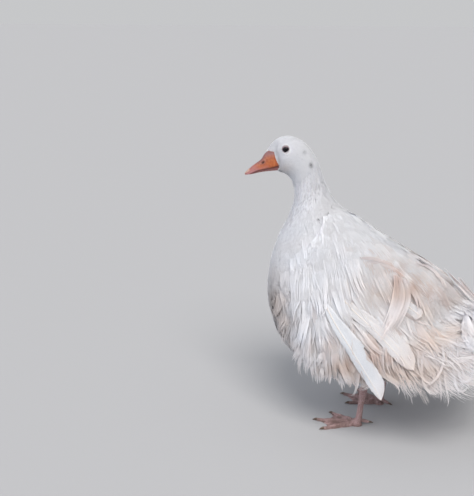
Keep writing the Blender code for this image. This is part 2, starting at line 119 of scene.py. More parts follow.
# The body form, as in the solids, from rump to bill base: dorsal (y, z), ventral (y, z), half width, egg, mm
bodyTable = (
    (198, 244, 184, 188, 26, 0.0),  # rump
    (160, 278, 138, 130, 68, -0.10),
    (98, 316, 78, 88, 94, -0.18),
    (35, 352, 5, 76, 106, -0.22),  # back
    (-8, 379, -62, 88, 104, -0.22),
    (-34, 394, -122, 132, 95, -0.18),  # shoulder
    (-45, 404, -156, 206, 82, -0.14),
    (-51, 413, -157, 278, 62, -0.08),  # crop
    (-56, 424, -143, 333, 45, 0.0),
    (-62, 437, -127, 368, 36, 0.0),
    (-69, 457, -116, 404, 31, 0.0),  # middle of the neck
    (-78, 477, -120, 434, 28.5, 0.0),
    (-90, 495, -130, 446, 26.5, -0.04),  # nape
    (-106, 509, -136, 448.5, 26, -0.08),
    (-129, 515.5, -140, 450, 24.6, -0.10),  # crown
    (-151.5, 508.5, -142.5, 450.5, 18.8, -0.10),  # brow
    (-168.5, 488.5, -146.5, 452, 14.8, -0.06),  # bill base
)
pose = {
    "headTurn": np.radians(14), "turnAxisY": -85 * mm, "turnFrom": 7, "turnOver": 4, "sectionPower": 0.92,
    "browStation": 14.3, "featherLineBack": 13.5, "wedgeHalfWidth": 0.62,  # the face drawn back beside it
}


def turned(points, angle):
    # turns points round the upright axis of the neck, to the bird's left
    x, y = points[..., 0], points[..., 1] - pose["turnAxisY"]
    c, s = np.cos(angle), np.sin(angle)
    return np.stack([x * c - y * s, x * s + y * c + pose["turnAxisY"], points[..., 2]], -1)


def bodyPoint(station, angle):
    # an egg section: the point falls from the back line to the belly line as the signed power of cos(angle)
    # and reaches out by sin(angle) times the half width; the face draws back beside the forehead, then the
    # neck turns
    station, angle = np.broadcast_arrays(np.asarray(station, float), np.asarray(angle, float))
    row = spline(bodyTable, station)
    c, s = np.cos(angle), np.sin(angle)
    fall = 0.5 - 0.5 * np.sign(c) * np.abs(c) ** pose["sectionPower"]
    x = s * (1 + row[..., 5] * c) * row[..., 4]
    back = pose["featherLineBack"] * ease((station - pose["browStation"]) / (16 - pose["browStation"]))
    beside = np.sin(np.pi / 2 * np.clip(np.abs(s) / pose["wedgeHalfWidth"], 0, 1))
    y = mix(row[..., 0], row[..., 2], fall) + back * beside * (1 - 0.45 * fall) * ease((1 - fall) / 0.28)
    z = mix(row[..., 1], row[..., 3], fall)
    turn = pose["headTurn"] * ease((station - pose["turnFrom"]) / pose["turnOver"])
    return turned(np.stack([x, y, z], -1) * mm, turn)


# The solids were moved so that the floor's centre is the origin: the trunk's foremost point gives the move
trunkRings = bodyPoint(np.linspace(0, 7.6, 15)[:, None], np.arange(28) / 28 * 2 * np.pi)
shift = np.array((0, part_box("trunk")[0].y - trunkRings[..., 1].min(), 0))
print("stage: frame read, shift", np.round(shift / mm, 2), "mm")

eyeCentre = {}
for side, _ in bothSides:
    low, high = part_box("eye_" + side)
    eyeCentre[side] = np.array((low + high) / 2) - shift
headAcross = np.array((np.cos(pose["headTurn"]), np.sin(pose["headTurn"]), 0))  # out of the head, to its left
headForward = np.array((np.sin(pose["headTurn"]), -np.cos(pose["headTurn"]), 0))
headUp = np.array((0, 0, 1.0))


def eyeDistance(points):
    # the distance from the nearer eye's axis, measured square to it
    best = np.full(points.shape[:-1], 1.0)
    for centre in eyeCentre.values():
        off = points - centre
        near = np.abs(dot(off, headAcross))[..., 0] < 0.02
        square = np.linalg.norm(off - headAcross * dot(off, headAcross), axis=-1)
        best = np.where(near, np.minimum(best, square), best)
    return best


class Sheet:
    # a grid of points with its two tangents and outward normal, read between grid places and straight on
    # past its ends
    def __init__(self, points, wrapped=False):
        self.points = points
        self.wrapped = wrapped
        self.along = np.gradient(points, axis=0)
        if wrapped:
            self.across = (np.roll(points, -1, 1) - np.roll(points, 1, 1)) / 2
        else:
            self.across = np.gradient(points, axis=1)
        normal = unit(np.cross(self.along, self.across))
        outward = (normal * (points - points.mean((0, 1)))).sum(-1).mean()
        self.normal = normal * np.sign(outward)

    def read(self, a, b):
        # point, tangents and normal at a grid place, each mixed from the four corners of its cell
        rows, columns = self.points.shape[:2]
        i = np.clip(np.floor(a).astype(int), 0, rows - 2)
        j = np.floor(b).astype(int)
        if not self.wrapped:
            j = np.clip(j, 0, columns - 2)
        f, g = (a - i)[..., None], (b - j)[..., None]
        k = (j + 1) % columns
        j = j % columns
        found = [mix(mix(x[i, j], x[i + 1, j], f), mix(x[i, k], x[i + 1, k], f), g)
                 for x in (self.points, self.along, self.across, self.normal)]
        found[3] = unit(found[3])
        return found

    def cellArea(self):
        # the length of the cross product of the two tangents
        return np.linalg.norm(np.cross(self.along, self.across), axis=-1)

    def nearest(self, y, z):
        # grid place whose (y, z) comes closest to each given one, refined once along the two tangents
        places = []
        for py, pz in zip(np.atleast_1d(y), np.atleast_1d(z)):
            off = (self.points[..., 1] - py) ** 2 + (self.points[..., 2] - pz) ** 2
            i, j = np.unravel_index(np.argmin(off), off.shape)
            tangents = np.stack([self.along[i, j, 1:], self.across[i, j, 1:]], 1)
            left = np.array((py, pz)) - self.points[i, j, 1:]
            fine = np.clip(np.linalg.lstsq(tangents, left, rcond=None)[0], -1.5, 1.5)
            places.append((i + fine[0], j + fine[1]))
        return np.array(places).T


# Body sheet: rows are stations, columns go round from the spine, left side first. The neck has furrows, and
# the face is dented round the eyes and below the brow, and filled between eye and bill and on the cheek.
bodyGrid = {"perStation": 12, "around": 96, "furrows": 13, "furrowDepth": 0.6 * mm}
faceForm = {  # in mm
    "rings": ((1.1, 7.2, 2.2), (-0.25, 10.5, 3.5)),  # orbit and socket: height, radius round the eye, reach
    # brow, lore and cheek: height, place ahead of the eye, reach, place above it, reach
    "hills": ((0.5, -1, 11, 11, 3.5), (0.9, 16, 5, -2, 9), (0.35, -4, 12, -20, 9)),
}


def furrowPhase(station, angle):
    # the feather ridges of the neck run down it with a slow spiral to the back
    return bodyGrid["furrows"] * angle + 0.9 * (station - 9) * np.sign(np.sin(angle))


def furrowReach(station):
    # none on the head, full on the middle of the neck, gone on the breast
    return ease((10.9 - station) / 0.9) * ease((station - 7.9) / 1.2)


def relief(station, angle, points):
    # how far the form stands out from the plain one: furrows down the neck, then soft hills on the face
    dip = (0.5 - 0.5 * np.cos(2 * furrowPhase(station, angle))) ** 0.8 * furrowReach(station)
    gap = eyeDistance(points) / mm
    onLeft = points[..., :1] > eyeCentre["left"][0] / 2 + eyeCentre["right"][0] / 2
    off = points - np.where(onLeft, eyeCentre["left"], eyeCentre["right"])
    forward, above = dot(off, headForward)[..., 0] / mm, off[..., 2] / mm
    height = 0
    for rise, radius, reach in faceForm["rings"]:
        height = height + rise * hill(gap, radius, reach)
    for rise, ahead, reachAhead, over, reachOver in faceForm["hills"]:
        height = height + rise * hill(forward, ahead, reachAhead) * hill(above, over, reachOver)
    return height * mm * ease((station - 11) / 1.5) - dip * bodyGrid["furrowDepth"]


stations = np.arange(16 * bodyGrid["perStation"] + 1) / bodyGrid["perStation"]
angles = np.arange(bodyGrid["around"]) / bodyGrid["around"] * 2 * np.pi
plainBody = Sheet(bodyPoint(stations[:, None], angles[None, :]), True)
stand = relief(stations[:, None], angles[None, :], plainBody.points)
body = Sheet(plainBody.points + plainBody.normal * stand[..., None], True)

# Mantle sheet of the folded wing with its hanging feathers, as in the solids: u runs from front to rear,
# v from the spine over shoulder and flank to the hem at 1, and past it
wingStations = ((0.0, 5.6), (0.3, 4.0), (0.65, 2.3), (1.0, 0.35))  # u, body station
wingHem = (  # u, then y, z and half width of the hem in mm
    (0.0, -100, 164, 92),
    (0.18, -58, 122, 122),
    (0.4, 14, 110, 140),
    (0.65, 96, 120, 146),
    (0.85, 168, 128, 136),
    (1.0, 230, 148, 112),
)
mantleShape = {"rows": 97, "columns": 81, "pastHem": 1.3, "cover": 11 * mm, "edge": 2 * mm, "bulge": 5 * mm,
               "frontSink": 3.5}


def flankPoint(station, angle, lift):
    # a point of the body section raised square to it by lift
    point = bodyPoint(station, angle)
    around = bodyPoint(station, angle + 0.01) - bodyPoint(station, angle - 0.01)
    row = spline(bodyTable, station)
    spine = np.stack([0 * row[:, 0], row[:, 0] - row[:, 2], row[:, 1] - row[:, 3]], -1)
    out = unit(np.cross(np.cross(spine, (1, 0, 0)), around))
    middle = (bodyPoint(station, 0) + bodyPoint(station, np.pi)) / 2
    return point + out * np.sign(dot(out, point - middle)) * lift[:, None]


def mantlePoints():
    # each row is a Catmull-Rom line through spine, shoulder, flank, half way and hem, and straight past it
    u = np.linspace(0, 1, mantleShape["rows"])
    station = keyed(wingStations, u)[:, 0]
    hem = keyed(wingHem, u)[:, [2, 0, 1]] * mm
    step = mantleShape["cover"] - mantleShape["edge"]
    cover = mantleShape["edge"] + step * ease(u / 0.16) * ease((1 - u) / 0.12)
    top = flankPoint(station, np.radians(2.5), 0 * u + mantleShape["edge"])
    shoulder = flankPoint(station + 0.12, np.radians(42), cover)
    flank = flankPoint(station + 0.25, np.radians(86), cover)
    middle = (flank + hem) / 2 + np.array((mantleShape["bulge"], 0, 0))
    table = np.stack([top, shoulder, flank, middle, hem])
    v = np.linspace(0, mantleShape["pastHem"], mantleShape["columns"])
    inside = spline(table, np.minimum(v, 1) * 4)
    slope = (inside[v <= 1][-1] - inside[v <= 1][-3]) / (v[v <= 1][-1] - v[v <= 1][-3])
    past = np.maximum(v - 1, 0)[:, None, None]
    return (inside + slope * past).transpose(1, 0, 2)


leftMantle = mantlePoints()
mantle = {"left": Sheet(leftMantle), "right": Sheet(leftMantle * (-1, 1, 1))}

# Tail and thigh sheets; the tail's section is the same kind as the body's
tailTable = (
    (198, 244, 184, 188, 26),
    (211, 237, 194, 160, 62),
    (234, 219, 215, 134, 86),
    (255, 192, 238, 122, 93),
    (269, 164, 257, 128, 76),
)
tailGrid = {"rows": 49, "around": 72}
ballSpot = {"left": (54, 28), "right": (-48, 46)}  # ball of the foot on the floor, mm
legForm = {
    "hock": (1, 11, 84), "knee": (3, -18, 132), "ankle": (2.5, 13.8),
    # share of the length, half widths
    "shank": ((0, 6.2, 7.0), (0.12, 5.0, 5.6), (0.5, 4.6, 5.4), (0.85, 6.2, 7.2), (1.06, 6.6, 7.6)),
    "thigh": ((-0.05, 6.6, 7.6), (0.25, 11, 13), (0.6, 20, 25), (1, 28, 34), (1.4, 26, 31)),
}


def tailPoint(station, angle):
    # the body's egg section without its egg: cos(angle) gives the fall and sin(angle) the reach
    row = spline(tailTable, station)
    c = np.cos(angle)
    fall = 0.5 - 0.5 * np.sign(c) * np.abs(c) ** pose["sectionPower"]
    x = np.sin(angle) * row[..., 4]
    return np.stack([x, mix(row[..., 0], row[..., 2], fall), mix(row[..., 1], row[..., 3], fall)], -1) * mm


def legPoints(side, sign):
    # ankle, hock and knee of one leg, in mm
    ballX, ballY = ballSpot[side]
    ankle = np.array((ballX, ballY + legForm["ankle"][0], legForm["ankle"][1]))
    hock = np.array((ballX + sign * legForm["hock"][0], ballY + legForm["hock"][1], legForm["hock"][2]))
    knee = np.array((ballX + sign * legForm["knee"][0], legForm["knee"][1] + ballY * 0.5, legForm["knee"][2]))
    return ankle, hock, knee


def tubeGrid(centres, halves, around, rows, up=(0, 1, 0)):
    # round sections square to a smooth line of points; halves are the half widths across and fore-and-aft
    at = np.linspace(0, len(centres) - 1, rows)
    centres, halves = spline(centres, at), spline(halves, at)
    ahead = unit(np.gradient(centres, axis=0))
    side = unit(np.cross(ahead, up))
    fore = np.cross(side, ahead)
    t = np.arange(around) / around * 2 * np.pi
    ring = side[:, None] * (np.cos(t)[None, :, None] * halves[:, 0][:, None, None])
    ring = ring + fore[:, None] * (np.sin(t)[None, :, None] * halves[:, 1][:, None, None])
    return centres[:, None] + ring


def legTube(first, second, table, around, rows):
    # a leg's length between two joints, through the table's sections
    centres = [first + (second - first) * row[0] for row in table]
    return tubeGrid(np.array(centres) * mm, np.array([row[1:] for row in table]) * mm, around, rows)


tailAngles = np.arange(tailGrid["around"]) / tailGrid["around"] * 2 * np.pi
tail = Sheet(tailPoint(np.linspace(0, 4, tailGrid["rows"])[:, None], tailAngles[None]), True)
thigh = {}
for side, sign in bothSides:
    ankle, hock, knee = legPoints(side, sign)
    thigh[side] = Sheet(legTube(hock, knee, legForm["thigh"], 40, 30), True)
print("stage: sheets laid out")

# Markings: place (y, z) and reach (y, z) of soft spots in mm, and their strength
markSpots = {
    # the cream spots low on the flank and on the lower breast are partly the feathers' cream and partly
    # painted shade
    "cream": ((78, 275, 50, 38, 0.50), (190, 245, 55, 60, 0.42), (62, 150, 85, 48, 0.60),
              (160, 150, 60, 60, 0.30), (-120, 190, 40, 75, 0.50), (-128, 460, 16, 13, 0.55)),
    "tan": ((92, 290, 32, 26, 0.26), (145, 268, 42, 24, 0.30), (205, 255, 30, 30, 0.22),
            (60, 165, 75, 34, 0.30)),
    # the grey spots are painted shade on the middle of the breast and on the nape
    "grey": ((-150, 262, 60, 46, 0.07), (-80, 468, 26, 34, 0.06)),
    # the dirt spots low on the hem and on the lower breast are partly dirt and partly painted shade
    "dirt": ((40, 112, 130, 30, 0.22), (-70, 112, 60, 30, 0.16), (-136, 226, 36, 42, 0.62),
             (-130, 170, 40, 40, 0.35)),
}
headFlecks = (  # place on the unturned head in mm, reach and strength
    ((23, -98.7, 490.2), 2.3, 0.70),
    ((24, -86.2, 467.7), 2.6, 0.95),
    ((23, -85.3, 475.0), 1.3, 0.70),
    ((-23, -97, 484), 1.5, 0.60),
)
# the root colour is painted shade under overlying feathers, and partly the greyer down at the roots
skinTone = {"white": "#f7f9ff", "root": "#dfdfe9", "cream": "#e8dad2", "tan": "#cba796", "dirt": "#8f7c70",
            # the fleck colour also serves as painted shade on breast and nape and in the neck's furrows
            "fleck": "#55565f", "bare": "#766166"}


def markings(points):
    # the share of each colour at a place: soft spots, slow waves of cream, and flecks on the head; the grey
    # spots join the flecks as painted shade
    x, y, z = (points[..., i] / mm for i in range(3))
    found = {}
    for kind, spots in markSpots.items():
        total = 0 * y
        for spotY, spotZ, reachY, reachZ, strength in spots:
            total = total + strength * hill(y, spotY, reachY) * hill(z, spotZ, reachZ)
        found[kind] = total * (0.45 + 0.55 * ease((np.abs(x) - 20) / 70))
    patch = waves(77, y / 70 + x / 200, z / 55)
    found["cream"] = np.clip(0.07 + found["cream"] * (1 + 0.35 * patch) + 0.04 * patch * (z < 400), 0, 1)
    found["tan"] = np.clip(found["tan"] * (1 + 0.8 * waves(78, y / 26, z / 60)), 0, 1)
    fleck = found.pop("grey")
    for place, reach, strength in headFlecks:
        centre = turned(np.array(place) * mm, pose["headTurn"])
        off = (points - centre) * (0.3, 1, 0.62) / mm
        fleck = np.maximum(fleck, strength * np.exp(-((off**2).sum(-1)) / reach**2))
    found["fleck"] = fleck
    return found


def toLinear(code):
    # sRGB hex to linear colour
    c = np.array([int(code[i : i + 2], 16) for i in (1, 3, 5)]) / 255
    return (*np.where(c <= 0.04045, c / 12.92, ((c + 0.055) / 1.055) ** 2.4), 1.0)


def addNode(tree, kind, links=None, out=0, **settings):
    # one node with its settings and links, given back as one of its outputs; a link comes from an output, a
    # number or a hex colour, and a setting goes to the socket of that name where no property has it
    node = tree.nodes.new("ShaderNode" + kind)
    for key, value in settings.items():
        if hasattr(node, key):
            setattr(node, key, value)
        else:
            node.inputs[key.replace("_", " ")].default_value = value
    for key, source in (links or {}).items():
        if isinstance(source, bpy.types.NodeSocket):
            tree.links.new(source, node.inputs[key])
        else:
            node.inputs[key].default_value = toLinear(source) if isinstance(source, str) else source
    return node.outputs[out]


def newMaterial(name, **sockets):
    # a material with its shader's sockets set
    made = bpy.data.materials.new(name)
    made.use_nodes = True
    for key, value in sockets.items():
        made.node_tree.nodes["Principled BSDF"].inputs[key.replace("_", " ")].default_value = value
    return made, made.node_tree


def dressed(material, colour, height=None, strength=1.0, distance=0.0):
    # the colour, and a bump whose full height is distance, linked to the material's shader
    tree = material.node_tree
    shader = tree.nodes["Principled BSDF"]
    tree.links.new(colour, shader.inputs["Base Color"])
    if height is not None:
        bump = addNode(tree, "Bump", {"Height": height}, Strength=strength, Distance=distance)
        tree.links.new(bump, shader.inputs["Normal"])
    return material


def layered(tree, colour, *layers):
    # a colour with others laid over it, each by its own share
    for share, over in layers:
        colour = addNode(tree, "Mix", {"Factor": share, 6: colour, 7: over}, 2, data_type="RGBA")
    return colour


def grain(tree, place, perMetre, detail=2.0, low=0.0, high=1.0):
    # a soft random pattern of a real scale, stretched to run from 0 at low to 1 at high
    noise = addNode(tree, "TexNoise", {"Vector": place}, Scale=perMetre, Detail=detail)
    return addNode(tree, "MapRange", {"Value": noise}, From_Min=low, From_Max=high)


# Goose feather: grown keratin barbs, loose and silky on this breed. It looks white with a soft edge and
# hardly any gloss, lets some light through, and turns creamy and dirty-tan towards long worn tips.
featherLook = {"roughness": 0.68, "sheen": 0.18, "sheenRoughness": 0.5, "specular": 0.22, "through": 0.55,
               "throughReach": 4 * mm, "rootShade": 0.35, "shaft": "#efe2d8"}


def featherMaterial(name, barbed):
    # white from a greyer root on, then the markings by their shares, darkened a little by tint, streak or
    # barb; the grey root is painted shade where feathers lie under others, and partly the greyer down there
    made, tree = newMaterial(
        name, Roughness=featherLook["roughness"], Sheen_Weight=featherLook["sheen"],
        Sheen_Roughness=featherLook["sheenRoughness"], Specular_IOR_Level=featherLook["specular"],
        Subsurface_Weight=featherLook["through"], Subsurface_Scale=featherLook["throughReach"],
        Subsurface_Radius=(1.0, 0.9, 0.8),
    )
    masks = ("cream", "tan", "dirt", "fleck", "bare")
    keys = ("along", *masks, *(("barb", "edge", "shaft") if barbed else ("tint",)))
    read = {key: addNode(tree, "Attribute", out="Fac", attribute_name=key) for key in keys}
    rooted = addNode(tree, "MapRange", {"Value": read["along"]}, From_Min=0.0,
                     From_Max=featherLook["rootShade"])
    colour = layered(tree, skinTone["root"], (rooted, skinTone["white"]),
                     *((read[key], skinTone[key]) for key in masks))
    if barbed:
        # vanes: barbs slant off the shaft about 0.5 mm apart, drawn 1.4 mm apart to show
        barbs = addNode(tree, "CombineXYZ", {0: read["barb"], 1: read["edge"]})
        height, strength, distance = grain(tree, barbs, 700, 2.0, 0.3, 0.7), 0.35, 0.4 * mm
        colour = layered(tree, colour, (read["shaft"], featherLook["shaft"]))
        # the vanes are drawn darker overall than the loose coat: painted shade
        amount = addNode(tree, "Math", {0: height, 1: 0.10, 2: 0.78}, operation="MULTIPLY_ADD")
    else:
        place = addNode(tree, "TexCoord", out="Object")
        streak = grain(tree, place, 420, 2.0, 0.3, 0.75)  # streaks of about 2 mm
        amount = addNode(tree, "Math", {0: read["tint"], 1: 0.09, 2: 0.90}, operation="MULTIPLY_ADD")
        amount = addNode(tree, "Math", {0: streak, 1: 0.03, 2: amount}, operation="MULTIPLY_ADD")
        # barbs of 0.3 mm drawn at 0.7 mm
        height, strength, distance = grain(tree, place, 1400, 3.0), 0.2, 0.3 * mm
    colour = addNode(tree, "VectorMath", {0: colour, "Scale": amount}, operation="SCALE")
    return dressed(made, colour, height, strength, distance)


feather = featherMaterial("featherBarbsLoose", False)
flightFeather = featherMaterial("featherVaneZipped", True)


def newMesh(name, points, quads, marks=None, tris=(), uv=None, sharp=None):
    # quads and tris index points; marks are numbers and uv a place for each point; the shift to the packed
    # frame is added here
    points = np.asarray(points, float) + shift
    quads = np.asarray(quads, np.int64).reshape(-1, 4)
    tris = np.asarray(tris, np.int64).reshape(-1, 3)
    mesh = bpy.data.meshes.new(name)
    corners = np.concatenate([quads.ravel(), tris.ravel()]).astype(np.int32)
    starts = np.concatenate([np.arange(len(quads)) * 4, len(quads) * 4 + np.arange(len(tris)) * 3])
    mesh.vertices.add(len(points))
    mesh.vertices.foreach_set("co", points.astype(np.float32).ravel())
    mesh.loops.add(len(corners))
    mesh.loops.foreach_set("vertex_index", corners)
    mesh.polygons.add(len(starts))
    mesh.polygons.foreach_set("loop_start", starts.astype(np.int32))
    mesh.update(calc_edges=True)
    for key, values in (marks or {}).items():
        layer = mesh.attributes.new(key, "FLOAT", "POINT")
        layer.data.foreach_set("value", np.broadcast_to(values, len(points)).astype(np.float32))
    if uv is not None:
        layer = mesh.uv_layers.new(name="OFBake")
        layer.uv.foreach_set("vector", np.asarray(uv)[corners].astype(np.float32).ravel())
    mesh.shade_smooth()
    if sharp:
        mesh.set_sharp_from_angle(angle=np.radians(sharp))
    thing = bpy.data.objects.new(name, mesh)
    bpy.context.scene.collection.objects.link(thing)
    return thing


triangleCount = {}


def finished(thing, material, slot, *nodes):
    # the piece gets its material and body, and takes the place of the solids named; slot is not used
    thing.data.materials.append(material)
    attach(thing, "root")
    if nodes:
        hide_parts(*nodes)
    triangleCount[thing.name] = len(thing.data.loops) - 2 * len(thing.data.polygons)
    print("piece:", thing.name, triangleCount[thing.name], "triangles")
    return thing


def gridFaces(rows, columns):
    # quads between the rings of a grid; each end ring, with an even number of points, is closed by quads
    # from side to side, which also fit a thin curved ring
    i, j = np.meshgrid(np.arange(rows - 1), np.arange(columns), indexing="ij")
    k = (j + 1) % columns
    low, high = i * columns, (i + 1) * columns
    walls = np.stack([low + j, low + k, high + k, high + j], -1)
    k = np.arange(columns // 2 - 1)
    cap = np.stack([k, k + 1, columns - 2 - k, columns - 1 - k], -1)
    return np.concatenate([walls.reshape(-1, 4), cap[:, ::-1], cap + (rows - 1) * columns])


def outwards(points, quads):
    # turns every face round if the shell's volume comes out negative
    flat = points.reshape(-1, 3)
    halves = np.concatenate([quads[:, [0, 1, 2]], quads[:, [0, 2, 3]]])
    a, b, c = flat[halves[:, 0]], flat[halves[:, 1]], flat[halves[:, 2]]
    return quads[:, ::-1] if (a * np.cross(b, c)).sum() < 0 else quads


def joined(shells, marks=None):
    # several closed grids of rings as one set of points and faces; marks hold a grid of numbers per shell
    points, quads, base = [], [], 0
    for grid in shells:
        points.append(grid.reshape(-1, 3))
        quads.append(outwards(grid, gridFaces(*grid.shape[:2])) + base)
        base += grid.shape[0] * grid.shape[1]
    flat = {}
    for key, values in (marks or {}).items():
        parts = [np.broadcast_to(v, g.shape[:2]).ravel() for v, g in zip(values, shells)]
        flat[key] = np.concatenate(parts)
    return np.concatenate(points), np.concatenate(quads), flat


def solidPiece(name, shells, material, slot, nodes, marks=None, sharp=None):
    # closed shells as one finished piece
    points, quads, flat = joined(shells, marks)
    return finished(newMesh(name, points, quads, flat, sharp=sharp), material, slot, *nodes)


# Feathers: growLines lays centrelines over a sheet, strandMesh covers each with a vane of closed strands
plainGrowth = {"low": 0.0, "high": 0.0, "riseOver": 0.5, "bend": 0.0, "curl": 0.0, "curlFrom": 0.6,
               "hook": 0.0, "sag": 0.0, "twist": 0.0, "waver": 0.0}


def growLines(sheet, a, b, way, length, steps, growth):
    # from its root each line walks over the sheet in its heading and keeps to the surface; it climbs from
    # height low to high, bends sideways, sags to the ground, and past curlFrom it curls off the body and
    # hooks sideways
    one = np.ones(len(a))
    low, high, riseOver, bend, curl, curlFrom, hook, sag, twist, waver = (
        {**plainGrowth, **growth}[key] * one for key in plainGrowth
    )
    step = length / steps
    rise = np.arcsin(np.clip((high - low) / (riseOver * length), -0.7, 0.7))
    height, a, b, way = low.copy(), a.copy(), b.copy(), way.copy()
    wavePhase = a * 12.9 + b * 78.2
    lines, sides, ups = [], [], []
    down = np.array((0, 0, -1.0))
    for i in range(steps + 1):
        s = i / steps
        point, ta, tb, normal = sheet.read(a, b)
        way = unit(way - normal * dot(way, normal))
        past = np.clip((s - curlFrom) / (1 - curlFrom), 0, 1)
        pitch = rise * (s < riseOver) + curl * past
        c, n = np.cos(pitch)[:, None], np.sin(pitch)[:, None]
        ahead, up = way * c + normal * n, normal * c - way * n
        side = np.cross(ahead, up)
        roll = (twist * s)[:, None]
        lines.append(point + normal * height[:, None])
        sides.append(side * np.cos(roll) + up * np.sin(roll))
        ups.append(up * np.cos(roll) - side * np.sin(roll))
        run = (step * np.cos(pitch))[:, None]
        height = height + step * np.sin(pitch)
        swing = (bend + waver * np.cos(wavePhase + 9 * s) + hook * 2 * past / (1 - curlFrom)) / steps
        swing = swing[:, None]
        way = unit(way * np.cos(swing) + np.cross(normal, way) * np.sin(swing))
        pull = down - normal * dot(np.broadcast_to(down, normal.shape), normal)
        way = unit(way + pull * (sag / steps)[:, None])
        g11, g12, g22 = dot(ta, ta), dot(ta, tb), dot(tb, tb)
        r1, r2 = dot(way, ta) * run, dot(way, tb) * run
        area = np.maximum(g11 * g22 - g12 * g12, 1e-18)
        a = a + ((g22 * r1 - g12 * r2) / area)[:, 0]
        b = b + ((g11 * r2 - g12 * r1) / area)[:, 0]
    return np.stack(lines), np.stack(sides), np.stack(ups), a, b


def strandFaces(count, segments):
    # each strand is a three-sided prism of rings left, ridge, right, closed at both ends
    r, k = np.meshgrid(np.arange(segments), np.arange(3), indexing="ij")
    k1 = (k + 1) % 3
    quads = np.stack([r * 3 + k, r * 3 + k1, r * 3 + 3 + k1, r * 3 + 3 + k], -1).reshape(-1, 4)
    tris = np.array([(0, 2, 1), (segments * 3, segments * 3 + 1, segments * 3 + 2)])
    base = np.arange(count)[:, None, None] * (segments + 1) * 3
    return (quads[None] + base).reshape(-1, 4), (tris[None] + base).reshape(-1, 3)


plainVane = {"strands": 5, "locks": 2, "segments": 6, "fray": 0.3, "stray": 0.12, "gather": 0.45,
             "ragged": 0.22, "fill": 1.45, "blunt": 0.45, "spreadFrom": 0.62, "neck": 0.5, "ridge": 0.10,
             "camber": 0.08, "lift": 1.0, "wave": 0.0}


def strandMesh(lines, sides, ups, root, width, vane, pick, marks=None, tips=None):
    # the strands of a feather lie side by side as one vane; past spreadFrom they gather into locks that part
    # by fray, each strand straying a little, and all end unevenly, in a point or rounded where blunt is 1
    look = {**plainVane, **vane}
    strands, locks, segments = look["strands"], min(look["locks"], look["strands"]), look["segments"]
    steps, count = len(lines) - 1, lines.shape[1]
    width = (width * np.ones(count))[:, None]
    fray = (look["fray"] * np.ones(count))[:, None]
    lift = (look["lift"] * np.ones(count))[:, None]
    e = ((np.arange(strands) + 0.5) / strands * 2 - 1)[None]
    e = e + pick.uniform(-0.3, 0.3, (count, strands)) / strands
    lock = (np.arange(strands) * locks) // strands
    lockE = ((lock + 0.5) / locks * 2 - 1)[None] * np.ones((count, 1))
    lockStray = pick.normal(0, 0.45, (count, locks))[:, lock] + 0.5 * lockE
    lockLift = pick.normal(0, 0.40, (count, locks))[:, lock]
    lockReach = pick.random((count, locks))[:, lock]
    uneven = 0.35 * np.abs(e) ** 1.6 + 0.45 * lockReach + 0.2 * pick.random((count, strands))
    reach = 1 - look["ragged"] * uneven
    own = np.linspace(0, 1, segments + 1)[:, None, None]
    s = own * reach
    place = s * steps
    i = np.minimum(place.astype(int), steps - 1)
    f = (place - i)[..., None]
    one = np.arange(count)[None, :, None]
    centre, side, up = (mix(x[i, one], x[i + 1, one], f) for x in (lines, sides, ups))
    vaneHalf = width * (look["neck"] + (1 - look["neck"]) * ease(s / 0.35))
    apart = np.clip((s - look["spreadFrom"]) / (1 - look["spreadFrom"]), 0, 1) ** 1.5
    own1 = pick.normal(0, 1, (count, strands))
    own2 = pick.normal(0, 1, (count, strands))
    across = mix(e, lockE, look["gather"] * apart) * vaneHalf
    across = across + width * (fray * lockStray + look["stray"] * own1) * apart
    across = across + width * look["wave"] * np.sin(9 * s + 3 * own1) * ease((s - 0.1) / 0.5)
    above = width * lift * (fray * lockLift + look["stray"] * own2) * apart - look["camber"] * vaneHalf * e**2
    above = above + 0.03 * lift * width * own2 * (1 - apart)
    above = above + 0.6 * width * look["wave"] * np.cos(8 * s + 3 * own2) * ease((s - 0.1) / 0.5)
    end = np.clip((own - 0.5) / 0.5, 0, 1)
    pointed, rounded = (1 - end) ** 0.8, np.sqrt(np.clip(1 - end**2.4, 0, 1))
    half = width / strands * look["fill"] * mix(pointed, rounded, look["blunt"])
    half = half * mix(0.6, 1.0, ease(own / 0.25))
    half = np.maximum(half, 0.00012 + 0.03 * width / strands)[..., None]
    across, above = across[..., None], above[..., None]
    left = centre + side * (across - half) + up * above
    right = centre + side * (across + half) + up * above
    top = centre + side * across + up * (above + np.maximum(look["ridge"] * half, 0.0001))
    points = np.stack([left, top, right], -2)  # rings, feathers, strands, three, xyz
    points = points.transpose(1, 2, 0, 3, 4)
    quads, tris = strandFaces(count * strands, segments)
    shape = (count, strands, segments + 1, 3)
    along = np.broadcast_to(s.transpose(1, 2, 0)[..., None], shape)
    patch = np.stack([
        np.broadcast_to(np.array((0.0, 0.5, 1.0)), shape),
        np.broadcast_to(own[:, 0, 0][None, None, :, None] * 0.9 + np.array((0, 0.1, 0)), shape),
    ], -1)
    offset = np.stack([e, 0 * e], -1)[:, :, None, None] * 0.001
    uv = np.clip(root[:, None, None, None], 0.004, 0.992) + offset + (patch - 0.5) * 0.003
    tint = 0.65 * pick.random((count, 1)) + 0.35 * pick.random((count, strands))
    given = {"along": along.ravel(), "tint": np.broadcast_to(tint[:, :, None, None], shape).ravel()}
    found = markings(points[..., 1, :])
    for key in ("cream", "tan", "dirt", "fleck"):
        value = found[key][..., None]
        if marks and key in marks:
            value = value + np.asarray(marks[key])[:, None, None, None]
        if tips and key in tips:
            value = value + np.asarray(tips[key])[:, None, None, None] * ease((along - 0.45) / 0.55)
        given[key] = np.broadcast_to(np.clip(value, 0, 1), shape).ravel()
    return points.reshape(-1, 3), quads, tris, given, np.clip(uv.reshape(-1, 2), 0, 1)


